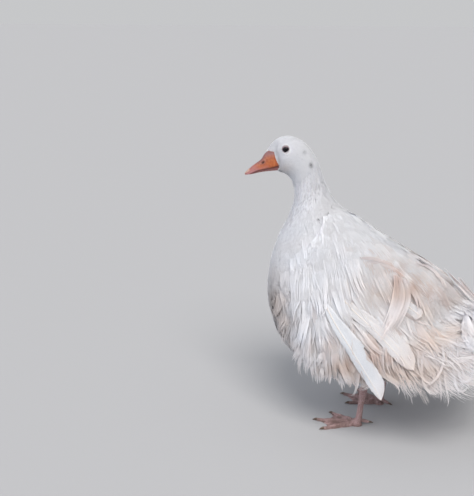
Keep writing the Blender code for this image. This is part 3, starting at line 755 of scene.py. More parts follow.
def coatPiece(name, bundles):
    # one coat piece from several bundles of strands
    points, quads, tris, uv, marks, base = [], [], [], [], {}, 0
    for p, q, t, m, u in bundles:
        points.append(p)
        quads.append(q + base)
        tris.append(t + base)
        uv.append(u)
        for key, value in m.items():
            marks.setdefault(key, []).append(value)
        base += len(p)
    marks = {key: np.concatenate(value) for key, value in marks.items()}
    points, quads, tris, uv = (np.concatenate(parts) for parts in (points, quads, tris, uv))
    return finished(newMesh(name, points, quads, marks, tris, uv, 62), feather, "plumage")


def scatter(sheet, count, weight, pick, jitter=0.6):
    # an even spread: two irrational steps walk over the sheet's area times weight, by rows and columns
    density = sheet.cellArea() * weight
    rows = np.concatenate([[0], np.cumsum(density.sum(1))])
    k = np.arange(1, count + 1)
    x, y = (0.5 + k * 0.7548776662) % 1, (0.5 + k * 0.5698402910) % 1
    a = np.interp(x * rows[-1], rows, np.arange(len(rows))) - 0.5
    row = np.clip(np.round(a).astype(int), 0, len(density) - 1)
    columns = np.cumsum(density, 1)
    columns = columns / np.maximum(columns[:, -1:], 1e-18)
    steps = np.arange(columns.shape[1] + 1)
    b = np.array([np.interp(v, np.concatenate([[0], columns[i]]), steps) for i, v in zip(row, y)]) - 0.5
    a = a + pick.uniform(-jitter, jitter, count)
    b = b + pick.uniform(-jitter, jitter, count)
    return np.clip(a, 0, len(density) - 1), b


def heading(sheet, a, b, angle):
    # a unit vector in the sheet, at an angle from its along direction towards its across direction
    _, ta, tb, _ = sheet.read(a, b)
    forward = unit(ta)
    sideways = unit(tb - forward * dot(tb, forward))
    angle = (angle * np.ones(len(a)))[:, None]
    return forward * np.cos(angle) + sideways * np.sin(angle)


def drawn(pick, pair, count, share=1.0):
    # a random number for each feather from its mean and deviation, times a share
    return (pair[0] + pair[1] * pick.standard_normal(count)) * share


def growthOf(look, pick, count, share=1.0):
    # the random growth of a tract's feathers, from the pairs in its dictionary
    growth = {}
    for key in ("bend", "curl", "hook", "twist"):
        if key in look:
            growth[key] = drawn(pick, look[key], count, share)
    for key in ("sag", "waver"):
        if key in look:
            growth[key] = look[key] * share
    growth["curlFrom"] = np.clip(drawn(pick, (0.6, 0.08), count), 0.2, 0.9)
    return growth


def bodyUv(a, b, first, last):
    # unwrap of the body form: once round it for a full width, one stretch of stations for a full height
    station = a / bodyGrid["perStation"]
    return np.stack([(b / bodyGrid["around"]) % 1, (station - first) / (last - first)], -1)


def halfUv(a, b, first, last, sign):
    # the same unwrap for one side of the bird only, so that it fills the width
    uv = bodyUv(a, b, first, last)
    uv[:, 0] = np.clip(uv[:, 0] * 2 if sign > 0 else 2 - uv[:, 0] * 2, 0, 1)
    return uv


def stationWeight(first, last, soft=0.15):
    # 1 between two stations and 0 outside, eased over soft at both
    return (ease((stations - first) / soft + 0.5) * ease((last - stations) / soft + 0.5))[:, None]


# Head and face: the smallest feathers, flat and close, swept back from the bill and parted round the eye
headCoat = {"count": 6000, "from": 11.0, "face": 5.0 * mm, "nape": 11 * mm, "share": 0.095, "clear": 5.8 * mm,
            "depth": 1.0 * mm,
            "vane": {"strands": 1, "locks": 1, "segments": 2, "fray": 0.0, "stray": 0.0, "ragged": 0.3,
                     "blunt": 0.3, "fill": 1.0, "neck": 0.7, "ridge": 0.2}}


def buildHeadCoat():
    # the length falls from nape to face and round the eye, and the heading is pushed away from the eye
    pick = np.random.default_rng(11)
    weight = stationWeight(headCoat["from"], 16) * (1 + 1.2 * ease((stations - 13) / 2))[:, None]
    a, b = scatter(body, headCoat["count"], weight * np.ones(len(angles)), pick, 0.3)
    station = a / bodyGrid["perStation"]
    size = mix(headCoat["nape"], headCoat["face"], ease((station - 11) / 3.6))
    size = size * pick.uniform(0.85, 1.15, len(a))
    point = body.read(a, b)[0]
    gap = eyeDistance(point)
    size *= mix(0.62, 1.0, ease((gap - 7 * mm) / (8 * mm)))
    way = heading(body, a, b, np.pi + pick.normal(0, 0.09, len(a)))
    middle = (eyeCentre["left"] + eyeCentre["right"]) / 2
    isLeft = dot(point - middle, headAcross) > 0
    away = unit(point - np.where(isLeft, eyeCentre["left"], eyeCentre["right"]))
    way = unit(way + away * 0.9 * hill(gap, 7 * mm, 4 * mm)[:, None])
    low = -headCoat["depth"] * mix(1.0, 0.7, ease(station - 14.5))
    growth = {"low": low, "high": 0.10 * mm, "curl": 0.05, "riseOver": 0.9}
    lines, sides, ups, _, _ = growLines(body, a, b, way, size, 4, growth)
    keep = (gap > headCoat["clear"]) & (eyeDistance(lines).min(0) > headCoat["clear"] - 0.8 * mm)
    root = bodyUv(a, b, 10.8, 16)[keep]
    return strandMesh(lines[:, keep], sides[:, keep], ups[:, keep], root, size[keep] * headCoat["share"],
                      headCoat["vane"], pick)


# Neck: narrow feathers drawn together into ridges that leave soft furrows between them
neckCoat = {"count": 3200, "from": 7.0, "to": 11.6, "length": (10 * mm, 17 * mm), "share": 0.068,
            "gather": 0.3, "shade": 0.17,
            "vane": {"strands": 1, "locks": 1, "segments": 4, "fray": 0.0, "stray": 0.0, "ragged": 0.2,
                     "blunt": 0.3, "fill": 1.0, "neck": 0.5, "ridge": 0.16}}


def buildNeckCoat():
    # the heading leans to the nearer ridge by the sine of twice the furrow's phase, and the furrows get
    # painted shade
    pick = np.random.default_rng(12)
    weight = stationWeight(neckCoat["from"], neckCoat["to"], 0.3) * np.ones(len(angles))
    a, b = scatter(body, neckCoat["count"], weight, pick, 0.4)
    station, angle = a / bodyGrid["perStation"], b / bodyGrid["around"] * 2 * np.pi
    size = mix(*neckCoat["length"], ease((10.5 - station) / 3)) * pick.uniform(0.85, 1.2, len(a))
    deep = furrowReach(station)
    gather = neckCoat["gather"] * deep * np.sin(2 * furrowPhase(station, angle))
    way = heading(body, a, b, np.pi + gather + pick.normal(0, 0.09, len(a)))
    low = -mix(1.6, 4.5, ease((9.5 - station) / 2.5)) * mm
    growth = {"low": low, "high": pick.uniform(-0.3, 0.4, len(a)) * mm, "curl": 0.05, "riseOver": 0.8}
    lines, sides, ups, _, _ = growLines(body, a, b, way, size, 6, growth)
    # painted shade in the furrows, a lilac grey through the fleck colour
    groove = (0.5 - 0.5 * np.cos(2 * furrowPhase(station, angle))) * deep
    shade = neckCoat["shade"] * groove * ease((station - 7.8) / 1.5)
    marks = {"fleck": shade * pick.uniform(0.5, 1.5, len(a))}
    return strandMesh(lines, sides, ups, bodyUv(a, b, 6.8, 11.7), size * neckCoat["share"], neckCoat["vane"],
                      pick, marks)


coatPiece("head_coat", [buildHeadCoat()])
coatPiece("neck_coat", [buildNeckCoat()])
print("stage: head and neck feathered")

# Breast, belly and back: short broad feathers, smooth above, ruffled and curled towards the belly
breastCoat = {"count": 570, "length": (24 * mm, 34 * mm), "share": 0.17, "depth": (4.0, 7.0), "seed": 20,
              "over": 0.0, "bend": (0.0, 0.7), "curl": (0.45, 0.5), "twist": (0.0, 0.3), "hook": (0.0, 0.8),
              "sag": 0.3,
              "vane": {"strands": 6, "segments": 3, "spreadFrom": 0.5, "ragged": 0.35, "blunt": 0.2}}
lowBreastCoat = dict(breastCoat, count=440, length=(30 * mm, 48 * mm), share=0.15, seed=25, depth=(5.0, 9.5),
                     vane={"strands": 5, "segments": 5, "spreadFrom": 0.4, "ragged": 0.4, "blunt": 0.1,
                           "wave": 0.12})
bellyCoat = dict(lowBreastCoat, count=450, length=(34 * mm, 50 * mm), seed=30, depth=(8.0, 9.5),
                 vane={"strands": 4, "segments": 4, "spreadFrom": 0.45, "wave": 0.12})
backCoat = dict(breastCoat, count=190, length=(46 * mm, 74 * mm), share=0.2, seed=40, depth=(6.0, 8.0),
                vane={"strands": 6, "locks": 3, "segments": 6, "fray": 0.25, "spreadFrom": 0.55})
# the cape lies over the front edge of the folded wing
capeCoat = dict(breastCoat, count=120, length=(46 * mm, 66 * mm), share=0.12, seed=50, depth=(4.0, 5.0),
                over=8.5,
                vane={"strands": 6, "locks": 4, "segments": 5, "fray": 0.2, "spreadFrom": 0.6,
                      "ragged": 0.4, "blunt": 0.2})


def ruffle(station, angle):
    # 0 where the coat lies smooth on the upper breast, 1 where it stands in curls on lower breast and belly
    below = 0.5 - 0.5 * np.cos(angle)
    return ease((6.5 - station) / 1.2) * ease((below - 0.25) / 0.5)


def bodyTract(look, first, last, sign, cover):
    # one side's feathers on the body sheet, between two stations, where cover says that they are needed
    pick = np.random.default_rng(look["seed"] + sign)
    half = np.where(np.sin(angles) * sign > -0.02, 1.0, 0.0)
    weight = stationWeight(first, last, 0.3) * half * cover(stations[:, None], angles)
    a, b = scatter(body, look["count"], weight, pick)
    count = len(a)
    station, angle = a / bodyGrid["perStation"], b / bodyGrid["around"] * 2 * np.pi
    rough = ruffle(station, angle)
    size = mix(*look["length"], ease((7.4 - station) / 3)) * pick.uniform(0.85, 1.15, count)
    field = waves(look["seed"] + 50, station * 1.3, angle * 2.2)
    way = heading(body, a, b, np.pi + field * 0.35 * rough + pick.normal(0, 0.10 + 0.3 * rough))
    growth = growthOf(look, pick, count, rough)
    growth["low"] = -mix(*look["depth"], ease((7.4 - station) / 1.6)) * mm
    over = look["over"] * ease((fromSpine(angle) - np.radians(5)) / np.radians(30))
    over = over * ease((6.8 - station) / 0.8)
    growth["high"] = (over + pick.uniform(-0.15, 0.2, count) + rough * pick.uniform(-0.5, 1.8, count)) * mm
    growth["riseOver"] = 0.85 if look["over"] else 0.5
    lines, sides, ups, _, _ = growLines(body, a, b, way, size, 8, growth)
    vane = dict(look["vane"])
    vane["fray"] = 0.08 + 0.45 * rough
    vane["lift"] = 0.3 + 0.7 * rough
    root = halfUv(a, b, first - 0.2, last + 0.2, sign)
    marks = {"cream": 0.10 * rough * (1 + field)}
    return strandMesh(lines, sides, ups, root, size * look["share"], vane, pick, marks)


def fromSpine(angle):
    # the angle from the spine on either side, up to half a turn
    return np.abs((angle + np.pi) % (2 * np.pi) - np.pi)


def openCover(station, angle):
    # 1 where the body's own feathers are needed, 0 under the mantle well behind its front edge
    low = np.radians(128 - 20 * ease((3.2 - station) / 1.0))
    under = ease((5.3 - station) / 0.5) * ease((low - fromSpine(angle)) / np.radians(14))
    return 1 - under


def spineCover(station, angle):
    # a strip along the back that widens over the rump
    edge = np.radians(20) + np.radians(55) * ease((1.4 - station) / 0.8)
    return ease((edge - fromSpine(angle)) / np.radians(8))


def capeCover(station, angle):
    # a band just ahead of the folded wing's front edge, from the shoulder down to the flank
    edge = 5.75 - 0.35 * ease((fromSpine(angle) - np.radians(60)) / np.radians(60))
    return hill(station, edge + 0.15, 0.42) * ease((np.radians(118) - fromSpine(angle)) / np.radians(16))


for side, sign in bothSides:
    breast = [bodyTract(breastCoat, 6.1, 7.9, sign, openCover),
              bodyTract(lowBreastCoat, 4.6, 6.3, sign, openCover)]
    coatPiece("breast_coat_" + side, [*breast, bodyTract(capeCoat, 4.9, 6.5, sign, capeCover)])
    belly = bodyTract(bellyCoat, 0.3, 4.8, sign, openCover)
    coatPiece("belly_coat_" + side, [belly, bodyTract(backCoat, 0.3, 6.6, sign, spineCover)])
print("stage: breast, belly and back feathered")


def flow(u, v):
    # the lie of the mantle's feathers: an angle from the rearward line down towards the hem
    return np.radians(mix(16, 64, ease(v / 0.8)) + 10 * ease((0.3 - u) / 0.3) - 14 * ease((u - 0.6) / 0.4))


# Mantle: coverts and scapulars along back and flank, the frayed flank and hem below, a lining behind them,
# long curled ribbons over them, and loose down towards the rear. Pairs are a mean and a deviation; lengths
# are in mm.
smoothMantle = {"u": (-1, 2), "length": (60, 96), "share": 0.115, "depth": 7, "high": (0.0, 0.3),
                "past": -0.04, "bend": (0, 0.18), "curl": (0.0, 0.08), "hook": (0, 0.2), "twist": (0, 0.06),
                "sag": 0.1, "waver": 0.2, "tan": 0.0, "shareJitter": 0.15, "rearShort": 0.0}
mantleCoat = {
    "shoulder": dict(smoothMantle, count=260, v=(0.0, 0.36), length=(50, 84), share=0.17,
                     vane={"strands": 7, "locks": 4, "segments": 6, "fray": 0.10, "spreadFrom": 0.7,
                           "lift": 0.3, "ragged": 0.3, "blunt": 0.3}),
    "scapular": dict(smoothMantle, count=275, v=(0.16, 0.58), length=(86, 140), share=0.085, tan=0.12,
                     high=(0.3, 1.4), curl=(0.05, 0.22), hook=(0, 0.4), twist=(0, 0.15),
                     vane={"strands": 8, "locks": 4, "segments": 7, "fray": 0.32, "spreadFrom": 0.45,
                           "ragged": 0.4, "lift": 0.8, "blunt": 0.25}),
    "flank": dict(smoothMantle, count=200, v=(0.40, 0.78), length=(86, 140), share=0.085, depth=8,
                  rearShort=0.12, high=(0.4, 2.4), past=-0.05, bend=(0, 0.5), curl=(0.12, 0.45),
                  hook=(0, 0.8), twist=(0, 0.45), sag=0.3, waver=0.5, tan=0.25,
                  vane={"strands": 7, "locks": 3, "segments": 8, "fray": 0.55, "spreadFrom": 0.4,
                        "ragged": 0.45, "lift": 1.0, "blunt": 0.2}),
    "hem": dict(smoothMantle, count=114, v=(0.60, 0.88), length=(80, 130), share=0.085, depth=11,
                rearShort=0.15, high=(-1.5, 1.2), past=0.01, bend=(0, 0.4), curl=(0.1, 0.5), hook=(0.4, 1.1),
                twist=(0, 0.5), sag=0.5, waver=0.6, tan=0.35,
                vane={"strands": 8, "locks": 3, "segments": 9, "fray": 0.55, "spreadFrom": 0.35,
                      "ragged": 0.45, "lift": 0.7, "blunt": 0.2}),
    "lining": dict(smoothMantle, count=115, v=(0.40, 0.90), length=(80, 120), share=0.17, depth=15,
                   high=(-6.0, 1.2), past=-0.06, sag=0.4, tan=0.2, rearShort=0.15,
                   vane={"strands": 4, "locks": 3, "segments": 5, "fray": 0.4, "spreadFrom": 0.5,
                         "ragged": 0.4}),
    "ribbon": dict(smoothMantle, count=34, v=(0.34, 0.80), length=(110, 165), share=0.045, depth=5,
                   high=(2.0, 1.0), past=0.05, bend=(0, 0.7), curl=(0.1, 0.7), hook=(0.2, 1.7),
                   twist=(0, 1.4), sag=0.3, waver=0.9, tan=0.4,
                   vane={"strands": 6, "locks": 2, "segments": 12, "fray": 0.8, "spreadFrom": 0.55,
                         "ragged": 0.3, "lift": 0.6}),
    "down": dict(smoothMantle, count=84, u=(0.74, 2), v=(0.46, 0.98), length=(60, 115), share=0.19, depth=6,
                 high=(3.0, 2.5), past=0.06, bend=(0, 0.35), curl=(0.2, 0.4), hook=(0.6, 1.0), twist=(0, 0.4),
                 sag=0.5, waver=0.6,
                 vane={"strands": 12, "locks": 5, "segments": 9, "fray": 0.4, "stray": 0.12,
                       "spreadFrom": 0.15, "fill": 0.34, "ragged": 0.5, "gather": 0.4, "blunt": 0.0,
                       "wave": 0.12}),
}
rearMost = cadBox[1][1] - shift[1] + 4 * mm
mantlePieces = {"mantle_upper": ("shoulder", "scapular"), "mantle_lower": ("flank", "hem", "lining"),
                "mantle_plumes": ("ribbon", "down")}


def withinRear(lines):
    # the share of its length that keeps each line short of the solids' rearmost point
    start, end = lines[0, :, 1], lines[..., 1].max(0)
    return np.clip((rearMost - start) / np.maximum(end - start, 1 * mm), 0.3, 1.0)


def mantleTract(side, name, seed):
    # one tract's feathers, grown twice: the first run shows how far each reaches, and its length is then cut
    # by the share that ends it at the hem's ragged line
    look = mantleCoat[name]
    sheet = mantle[side]
    pick = np.random.default_rng(seed)
    rows, columns = mantleShape["rows"], mantleShape["columns"]
    u = np.linspace(0, 1, rows)[:, None]
    v = np.linspace(0, mantleShape["pastHem"], columns)[None]
    weight = ease((v - look["v"][0]) / 0.05 + 0.5) * ease((look["v"][1] - v) / 0.08 + 0.5)
    weight = weight * ease((u - look["u"][0]) / 0.1 + 0.5) * ease((look["u"][1] - u) / 0.1 + 0.5)
    a, b = scatter(sheet, look["count"], weight, pick, 1.0)
    count = len(a)
    u, v = a / (rows - 1), b / (columns - 1) * mantleShape["pastHem"]
    size = mix(*look["length"], pick.random(count) ** 1.2) * mm
    angle = flow(u, v) + 0.20 * waves(907, u * 3, v * 2.4) + pick.normal(0, 0.08, count)
    way = heading(sheet, a, b, angle)
    rearward = ease((u - 0.3) / 0.35)
    growth = growthOf(look, pick, count, mix(0.65, 1.0, rearward))
    growth["low"] = -look["depth"] * mm * ease(v / 0.1 + 0.3 + ease((0.36 - u) / 0.14))
    growth["high"] = drawn(pick, look["high"], count) - mantleShape["frontSink"] * ease((0.16 - u) / 0.16)
    growth["high"] = growth["high"] * mm
    growth["riseOver"] = 0.45
    reach = 1.0 + look["past"] + 0.045 * waves(31, u * 7, 0 * u) + pick.normal(0, 0.02, count)
    reach = reach - look["rearShort"] * ease((u - 0.5) / 0.2)
    for trial in range(2):
        lines, sides, ups, endA, endB = growLines(sheet, a, b, way, size, 14, growth)
        end = endB / (columns - 1) * mantleShape["pastHem"]
        if trial == 0:
            within = np.where(end > reach, (reach - v) / np.maximum(end - v, 0.01), 1.0)
            size = size * np.clip(within, 0.4, 1.0) * withinRear(lines)
    strides = np.linalg.norm(np.diff(lines, axis=0), axis=-1).max(0)
    keep = (endA < rows + 14) & (endA > -8) & (endB > -3) & (strides < 1.6 * size / 14 + 1 * mm)
    wear = pick.random(count) ** 2 * ease((v - 0.3) / 0.4)
    tips = {"tan": look["tan"] * wear, "dirt": 0.7 * look["tan"] * wear * ease((v - 0.6) / 0.3)}
    root = np.stack([u, v / mantleShape["pastHem"]], -1)
    width = size * look["share"] * pick.uniform(1 - look["shareJitter"], 1 + look["shareJitter"], count)
    streaked = 0.1 + 0.9 * ease((u - 0.22) / 0.3)
    marks = {"cream": 0.36 * streaked * pick.random(count) ** 2,
             "tan": 0.30 * streaked * pick.random(count) ** 4}
    marks, tips = ({key: value[keep] for key, value in given.items()} for given in (marks, tips))
    lines, sides, ups = (grid[:, keep] for grid in (lines, sides, ups))
    return strandMesh(lines, sides, ups, root[keep], width[keep], look["vane"], pick, marks, tips)


for seed, (side, _) in zip((60, 80), bothSides):
    for piece, tracts in mantlePieces.items():
        seeds = [seed + len(name) + 3 * i for i, name in enumerate(tracts)]
        coatPiece(f"{piece}_{side}", [mantleTract(side, *each) for each in zip(tracts, seeds)])
print("stage: mantle feathered")

# Single long locks that hang over the mantle: (y, z) points, half width and lift at root and tip, all in
# mm, then the twist in radians and the share of tan
longLocks = {
    "tanRibbon": (((86, 296), (91, 276), (91, 256), (86, 232), (79, 206), (70, 176)), 6.5, (5, 16), 0.5,
                  0.42),
    "tanRibbonOver": (((93, 292), (100, 272), (99, 252), (92, 230), (83, 206), (73, 182)), 5.5, (7, 17), -0.5,
                      0.34),
    "tanRibbonRear": (((100, 290), (109, 270), (108, 250), (100, 228), (89, 206)), 5.5, (5, 13), -0.5, 0.30),
    "tanWisp": (((106, 288), (118, 272), (127, 258), (132, 240)), 5.0, (3, 9), 0.5, 0.35),
    "streakUpper": (((22, 322), (46, 321), (72, 313), (98, 301)), 3.4, (1, 4), 0.3, 0.80),
    "streakUnder": (((36, 317), (60, 314), (84, 304), (106, 290)), 3.4, (1, 4), -0.3, 0.60),
    "streakLower": (((112, 306), (134, 296), (156, 280), (172, 264)), 4.5, (2, 5), -0.3, 0.50),
    "quillUpper": (((182, 283), (200, 262), (216, 244), (229, 226)), 3.6, (2, 5), 0.4, 0.55),
    "quillLower": (((166, 288), (186, 268), (204, 250), (220, 234)), 4.2, (2, 5), -0.5, 0.30),
    "loopFront": (((138, 205), (139, 182), (145, 160), (156, 142), (168, 140), (171, 152), (162, 158)), 2.0,
                  (4, 9), 1.2, 0.10),
    "loopBack": (((158, 205), (172, 190), (180, 170), (176, 150), (163, 136), (150, 138), (148, 148)), 2.0,
                 (6, 10), -1.2, 0.15),
    "loopLow": (((150, 196), (148, 170), (152, 146), (163, 128), (176, 124), (182, 134)), 2.2, (5, 9), 0.8,
                0.05),
    "wisp": (((176, 190), (184, 160), (191, 134), (198, 112), (193, 98)), 2.4, (3, 6), 1.8, 0.25),
    "wispLow": (((166, 180), (176, 152), (184, 128), (187, 108)), 2.2, (4, 6), -1.2, 0.15),
    "loopRear": (((197, 200), (202, 176), (206, 158), (214, 144), (226, 146), (231, 162), (224, 170)), 2.2,
                 (3, 6), 1.0, 0.20),
    "loopRearLow": (((190, 190), (197, 164), (203, 142), (213, 130), (224, 134), (226, 146)), 2.0, (4, 6),
                    -0.8, 0.10),
    "frontPlume": (((-44, 250), (-38, 226), (-28, 202), (-14, 180)), 4.0, (1, 4), 0.5, 0.35),
    "frontWisp": (((-26, 236), (-14, 206), (-8, 182), (-4, 160)), 3.2, (1, 3), -0.6, 0.25),
}
lockVane = {"strands": 10, "locks": 4, "segments": 17, "fray": 0.5, "stray": 0.08, "spreadFrom": 0.45,
            "ragged": 0.35, "blunt": 0.2, "neck": 0.45, "fill": 1.25}


def laidLine(sheet, path, lift, twist, steps=24):
    # a centreline through (y, z) points, laid on the sheet, raised from root to tip and turned by twist
    path = spline(path, np.linspace(0, len(path) - 1, steps + 1)) * mm
    a, b = sheet.nearest(path[:, 0], path[:, 1])
    point, _, _, normal = sheet.read(a, b)
    s = np.linspace(0, 1, steps + 1)[:, None]
    line = point + normal * mix(lift[0], lift[1], s) * mm
    line[:, 1:] = path + (normal * mix(lift[0], lift[1], s) * mm)[:, 1:]
    ahead = unit(np.gradient(line, axis=0))
    side = unit(np.cross(ahead, normal))
    up = np.cross(side, ahead)
    roll = twist * s
    turnedSide = side * np.cos(roll) + up * np.sin(roll)
    return line, turnedSide, up * np.cos(roll) - side * np.sin(roll), (a[0], b[0])


def buildLongLocks(side, seed):
    # one strand bundle for each path; the right side's paths are moved a little, most at their tips
    pick = np.random.default_rng(seed)
    sheet = mantle[side]
    bundles = []
    for path, half, lift, twist, tan in longLocks.values():
        path = np.array(path, float)
        if side == "right":
            path = path + pick.normal(0, 5, 2)
            path = path + np.linspace(0, 1, len(path))[:, None] * pick.normal(0, 6, 2)
        line, across, up, (a, b) = laidLine(sheet, path, lift, twist)
        root = np.array([(a / (mantleShape["rows"] - 1), b / (mantleShape["columns"] - 1))])
        bundle = strandMesh(line[:, None], across[:, None], up[:, None], root, half * mm, lockVane, pick,
                            marks={"tan": np.array([0.5 * tan])}, tips={"tan": np.array([0.5 * tan])})
        bundles.append(bundle)
    return bundles


for side, seed in (("left", 201), ("right", 202)):
    coatPiece("long_locks_" + side, buildLongLocks(side, seed))
print("stage: long locks laid")

# Tail: curled plumes over a broad short fan
tailCoat = {"count": 300, "length": (48 * mm, 92 * mm), "share": 0.11, "thick": 24, "bend": (0, 0.4),
            "curl": (-0.45, 0.35), "hook": (0, 0.9), "twist": (0, 0.25), "sag": 0.25, "waver": 0.6,
            "vane": {"strands": 6, "locks": 3, "segments": 6, "fray": 0.45, "spreadFrom": 0.4, "ragged": 0.4,
                     "wave": 0.08, "blunt": 0.1}}


def buildTail():
    # the length falls towards the fan's edge, and roots lie at random depths through its thickness
    pick = np.random.default_rng(91)
    rows = np.linspace(0, 1, tailGrid["rows"])[:, None]
    weight = ease((0.97 - rows) / 0.1) * np.ones(tailGrid["around"])
    a, b = scatter(tail, tailCoat["count"], weight, pick, 1.0)
    count = len(a)
    size = mix(*tailCoat["length"], pick.random(count))
    size = np.minimum(size, (1 - a / (tailGrid["rows"] - 1)) * 0.100 + 0.030)
    way = heading(tail, a, b, pick.normal(0, 0.2, count))
    growth = growthOf(tailCoat, pick, count)
    deep = tailCoat["thick"] * pick.random(count) ** 1.7 * ease((a - 6) / 16)
    growth["low"] = -(8 + deep) * mm
    growth["high"] = (1 - deep) * mm
    lines = growLines(tail, a, b, way, size, 12, growth)[0]
    size = size * withinRear(lines)
    lines, sides, ups, _, _ = growLines(tail, a, b, way, size, 12, growth)
    root = np.stack([a / (tailGrid["rows"] - 1), (b / tailGrid["around"]) % 1], -1)
    return strandMesh(lines, sides, ups, root, size * tailCoat["share"], tailCoat["vane"], pick,
                      tips={"tan": 0.2 * pick.random(count)})


coatPiece("tail_coat", [buildTail()])

# Thighs: short soft feathers that run down to the bare shank
thighCoat = {"count": 150, "length": (16 * mm, 26 * mm), "share": 0.24, "bend": (0, 0.3), "curl": (0.1, 0.2),
             "vane": {"strands": 3, "segments": 4, "fray": 0.3, "spreadFrom": 0.5}}


def buildThigh(side, seed):
    # the length grows with the height over the hock and stops short of it
    pick = np.random.default_rng(seed)
    sheet = thigh[side]
    a, b = scatter(sheet, thighCoat["count"], np.ones(sheet.points.shape[:2]), pick)
    count = len(a)
    size = mix(*thighCoat["length"], ease(a / 24)) * pick.uniform(0.85, 1.15, count)
    way = heading(sheet, a, b, np.pi + pick.normal(0, 0.12, count))
    growth = growthOf(thighCoat, pick, count)
    growth["low"] = -3 * mm * ease(a / 8 + 0.2)
    growth["high"] = pick.uniform(-0.4, 0.8, count) * mm
    size = np.minimum(size, a / 29 * 70 * mm + 7 * mm)
    lines, sides, ups, _, _ = growLines(sheet, a, b, way, size, 6, growth)
    root = np.stack([a / (len(sheet.points) - 1), (b / sheet.points.shape[1]) % 1], -1)
    return strandMesh(lines, sides, ups, root, size * thighCoat["share"], thighCoat["vane"], pick)


for side, seed in (("left", 95), ("right", 96)):
    coatPiece("thigh_coat_" + side, [buildThigh(side, seed)])
print("stage: tail and thighs feathered")

# Whole vanes: the flight feathers and a square covert. Each has a path of (y, z) points in mm, half widths
# in mm at shares of the length on the fore and aft side of its shaft, and the lift of root and tip
# the grey darkens the vanes, most the lower primary, as painted shade
flightFeathers = {
    "primary_{}_1": {"path": ((-22, 246), (1, 216), (36, 176), (71, 133), (92, 105)), "lift": (4.2, 10),
                     "fore": ((0, 4), (0.25, 8), (0.45, 10), (0.65, 10), (0.82, 8), (0.93, 5), (0.98, 2.6),
                              (1, 0.6)),
                     "aft": ((0, 5), (0.2, 11), (0.33, 16), (0.45, 20), (0.5, 23), (0.53, 18.5), (0.57, 18),
                             (0.66, 20.5), (0.80, 20.5), (0.89, 15), (0.96, 7.5), (1, 0.6)),
                     "shafts": (0.0,), "cream": 0.05, "tan": 0.0, "tipTan": 0.22, "grey": 0.10},
    "primary_{}_2": {"path": ((10, 254), (32, 235), (66, 209), (98, 183), (137, 156)), "lift": (2.6, 10),
                     "fore": ((0, 5), (0.3, 9), (0.6, 9), (0.85, 9), (0.95, 7), (1, 0.8)),
                     "aft": ((0, 6), (0.2, 11), (0.44, 17), (0.6, 22), (0.76, 25), (0.87, 23), (0.95, 15),
                             (1, 0.8)),
                     "shafts": (0.0, 8.0), "cream": 0.40, "tan": 0.04, "tipTan": 0.30, "grey": 0.03},
    "covert_{}": {"path": ((100, 262), (110, 252), (122, 242), (134, 233)), "lift": (1, 8),
                  "fore": ((0, 3), (0.3, 8), (0.8, 10), (0.94, 9), (1, 3)),
                  "aft": ((0, 3), (0.3, 8), (0.8, 10), (0.95, 9), (1, 2)),
                  "shafts": (0.0,), "cream": 0.30, "tan": 0.05, "tipTan": 0.2, "grey": 0.08},
}
vaneForm = {"rows": 130, "columns": 26, "thick": 0.45 * mm, "shaft": 1.3 * mm, "shaftHeight": 0.8 * mm,
            "camber": 1.6 * mm}


def vaneShell(sheet, look, sign):
    # rows go along the shaft and columns out from it to the edges; the vane curves down to its edges, its
    # outline is nicked where barbs have parted, and the shaft is a fine raised line that thins to the tip
    line, across, up, _ = laidLine(sheet, look["path"], look["lift"], 0, 60)
    length = np.linalg.norm(np.diff(line, axis=0), axis=1).sum()
    s = np.linspace(0, 1, vaneForm["rows"])[:, None]
    t = np.linspace(-1, 1, vaneForm["columns"])[None]
    e = np.sign(t) * np.abs(t) ** 1.5
    ones = np.ones(s.shape) * np.ones(t.shape)
    fore, aft = (np.maximum(keyed(look[key], s[:, 0]), 0.4) for key in ("fore", "aft"))
    nicks = 1 - 0.04 * np.abs(waves(5, s * 26, e * 0.4)) - 0.06 * hill(s, 0.72, 0.008)
    half = np.where(e > 0, aft, fore) * mm * nicks
    out = e * half
    centre, side, over = (spline(grid, s[:, 0] * (len(line) - 1))[:, None] for grid in (line, across, up))
    width = vaneForm["shaft"] * mix(1.0, 0.3, s)
    ridge = 0 * ones
    for place in look["shafts"]:
        raised = hill(out, place * mm * mix(0.7, 1.3, s), width)
        ridge = np.maximum(ridge, raised if place == 0 else 0.5 * raised)
    high = ridge * vaneForm["shaftHeight"] * mix(1.0, 0.4, s)
    high = high - vaneForm["camber"] * np.abs(e) ** 1.5 * aft / 20
    high = high + 0.5 * mm * waves(8, s * 4, e * 0.7) * np.abs(e)
    top = centre - side * sign * out[..., None] + over * high[..., None]
    thick = vaneForm["thick"] * (0.35 + 0.65 * (1 - np.abs(e)) ** 0.3) + 0.6 * mm * ridge
    under = top - over * thick[..., None]
    ring = np.concatenate([top, under[:, ::-1]], 1)
    tip = ease((s - 0.7) / 0.3)
    given = {"along": ones, "fleck": look["grey"], "barb": s * length - np.abs(out) * 1.2, "edge": e * 0.02,
             "shaft": ridge * 0.8, "cream": look["cream"] + 0.30 * tip,
             "tan": look["tan"] + look["tipTan"] * tip * (0.4 + 0.6 * np.abs(e))}
    marks = {}
    for key, value in given.items():
        value = np.clip(value * ones, -1, 1)
        marks[key] = [np.concatenate([value, value[:, ::-1]], 1)]
    return ring, marks


for side, sign in bothSides:
    for name, look in flightFeathers.items():
        ring, marks = vaneShell(mantle[side], look, sign)
        node = name.format(side)
        nodes = [node] if "primary" in node else []  # the covert has no solid of its own
        solidPiece(node + "_vane", [ring], flightFeather, "plumage", nodes, marks, 50)
print("stage: flight feathers")

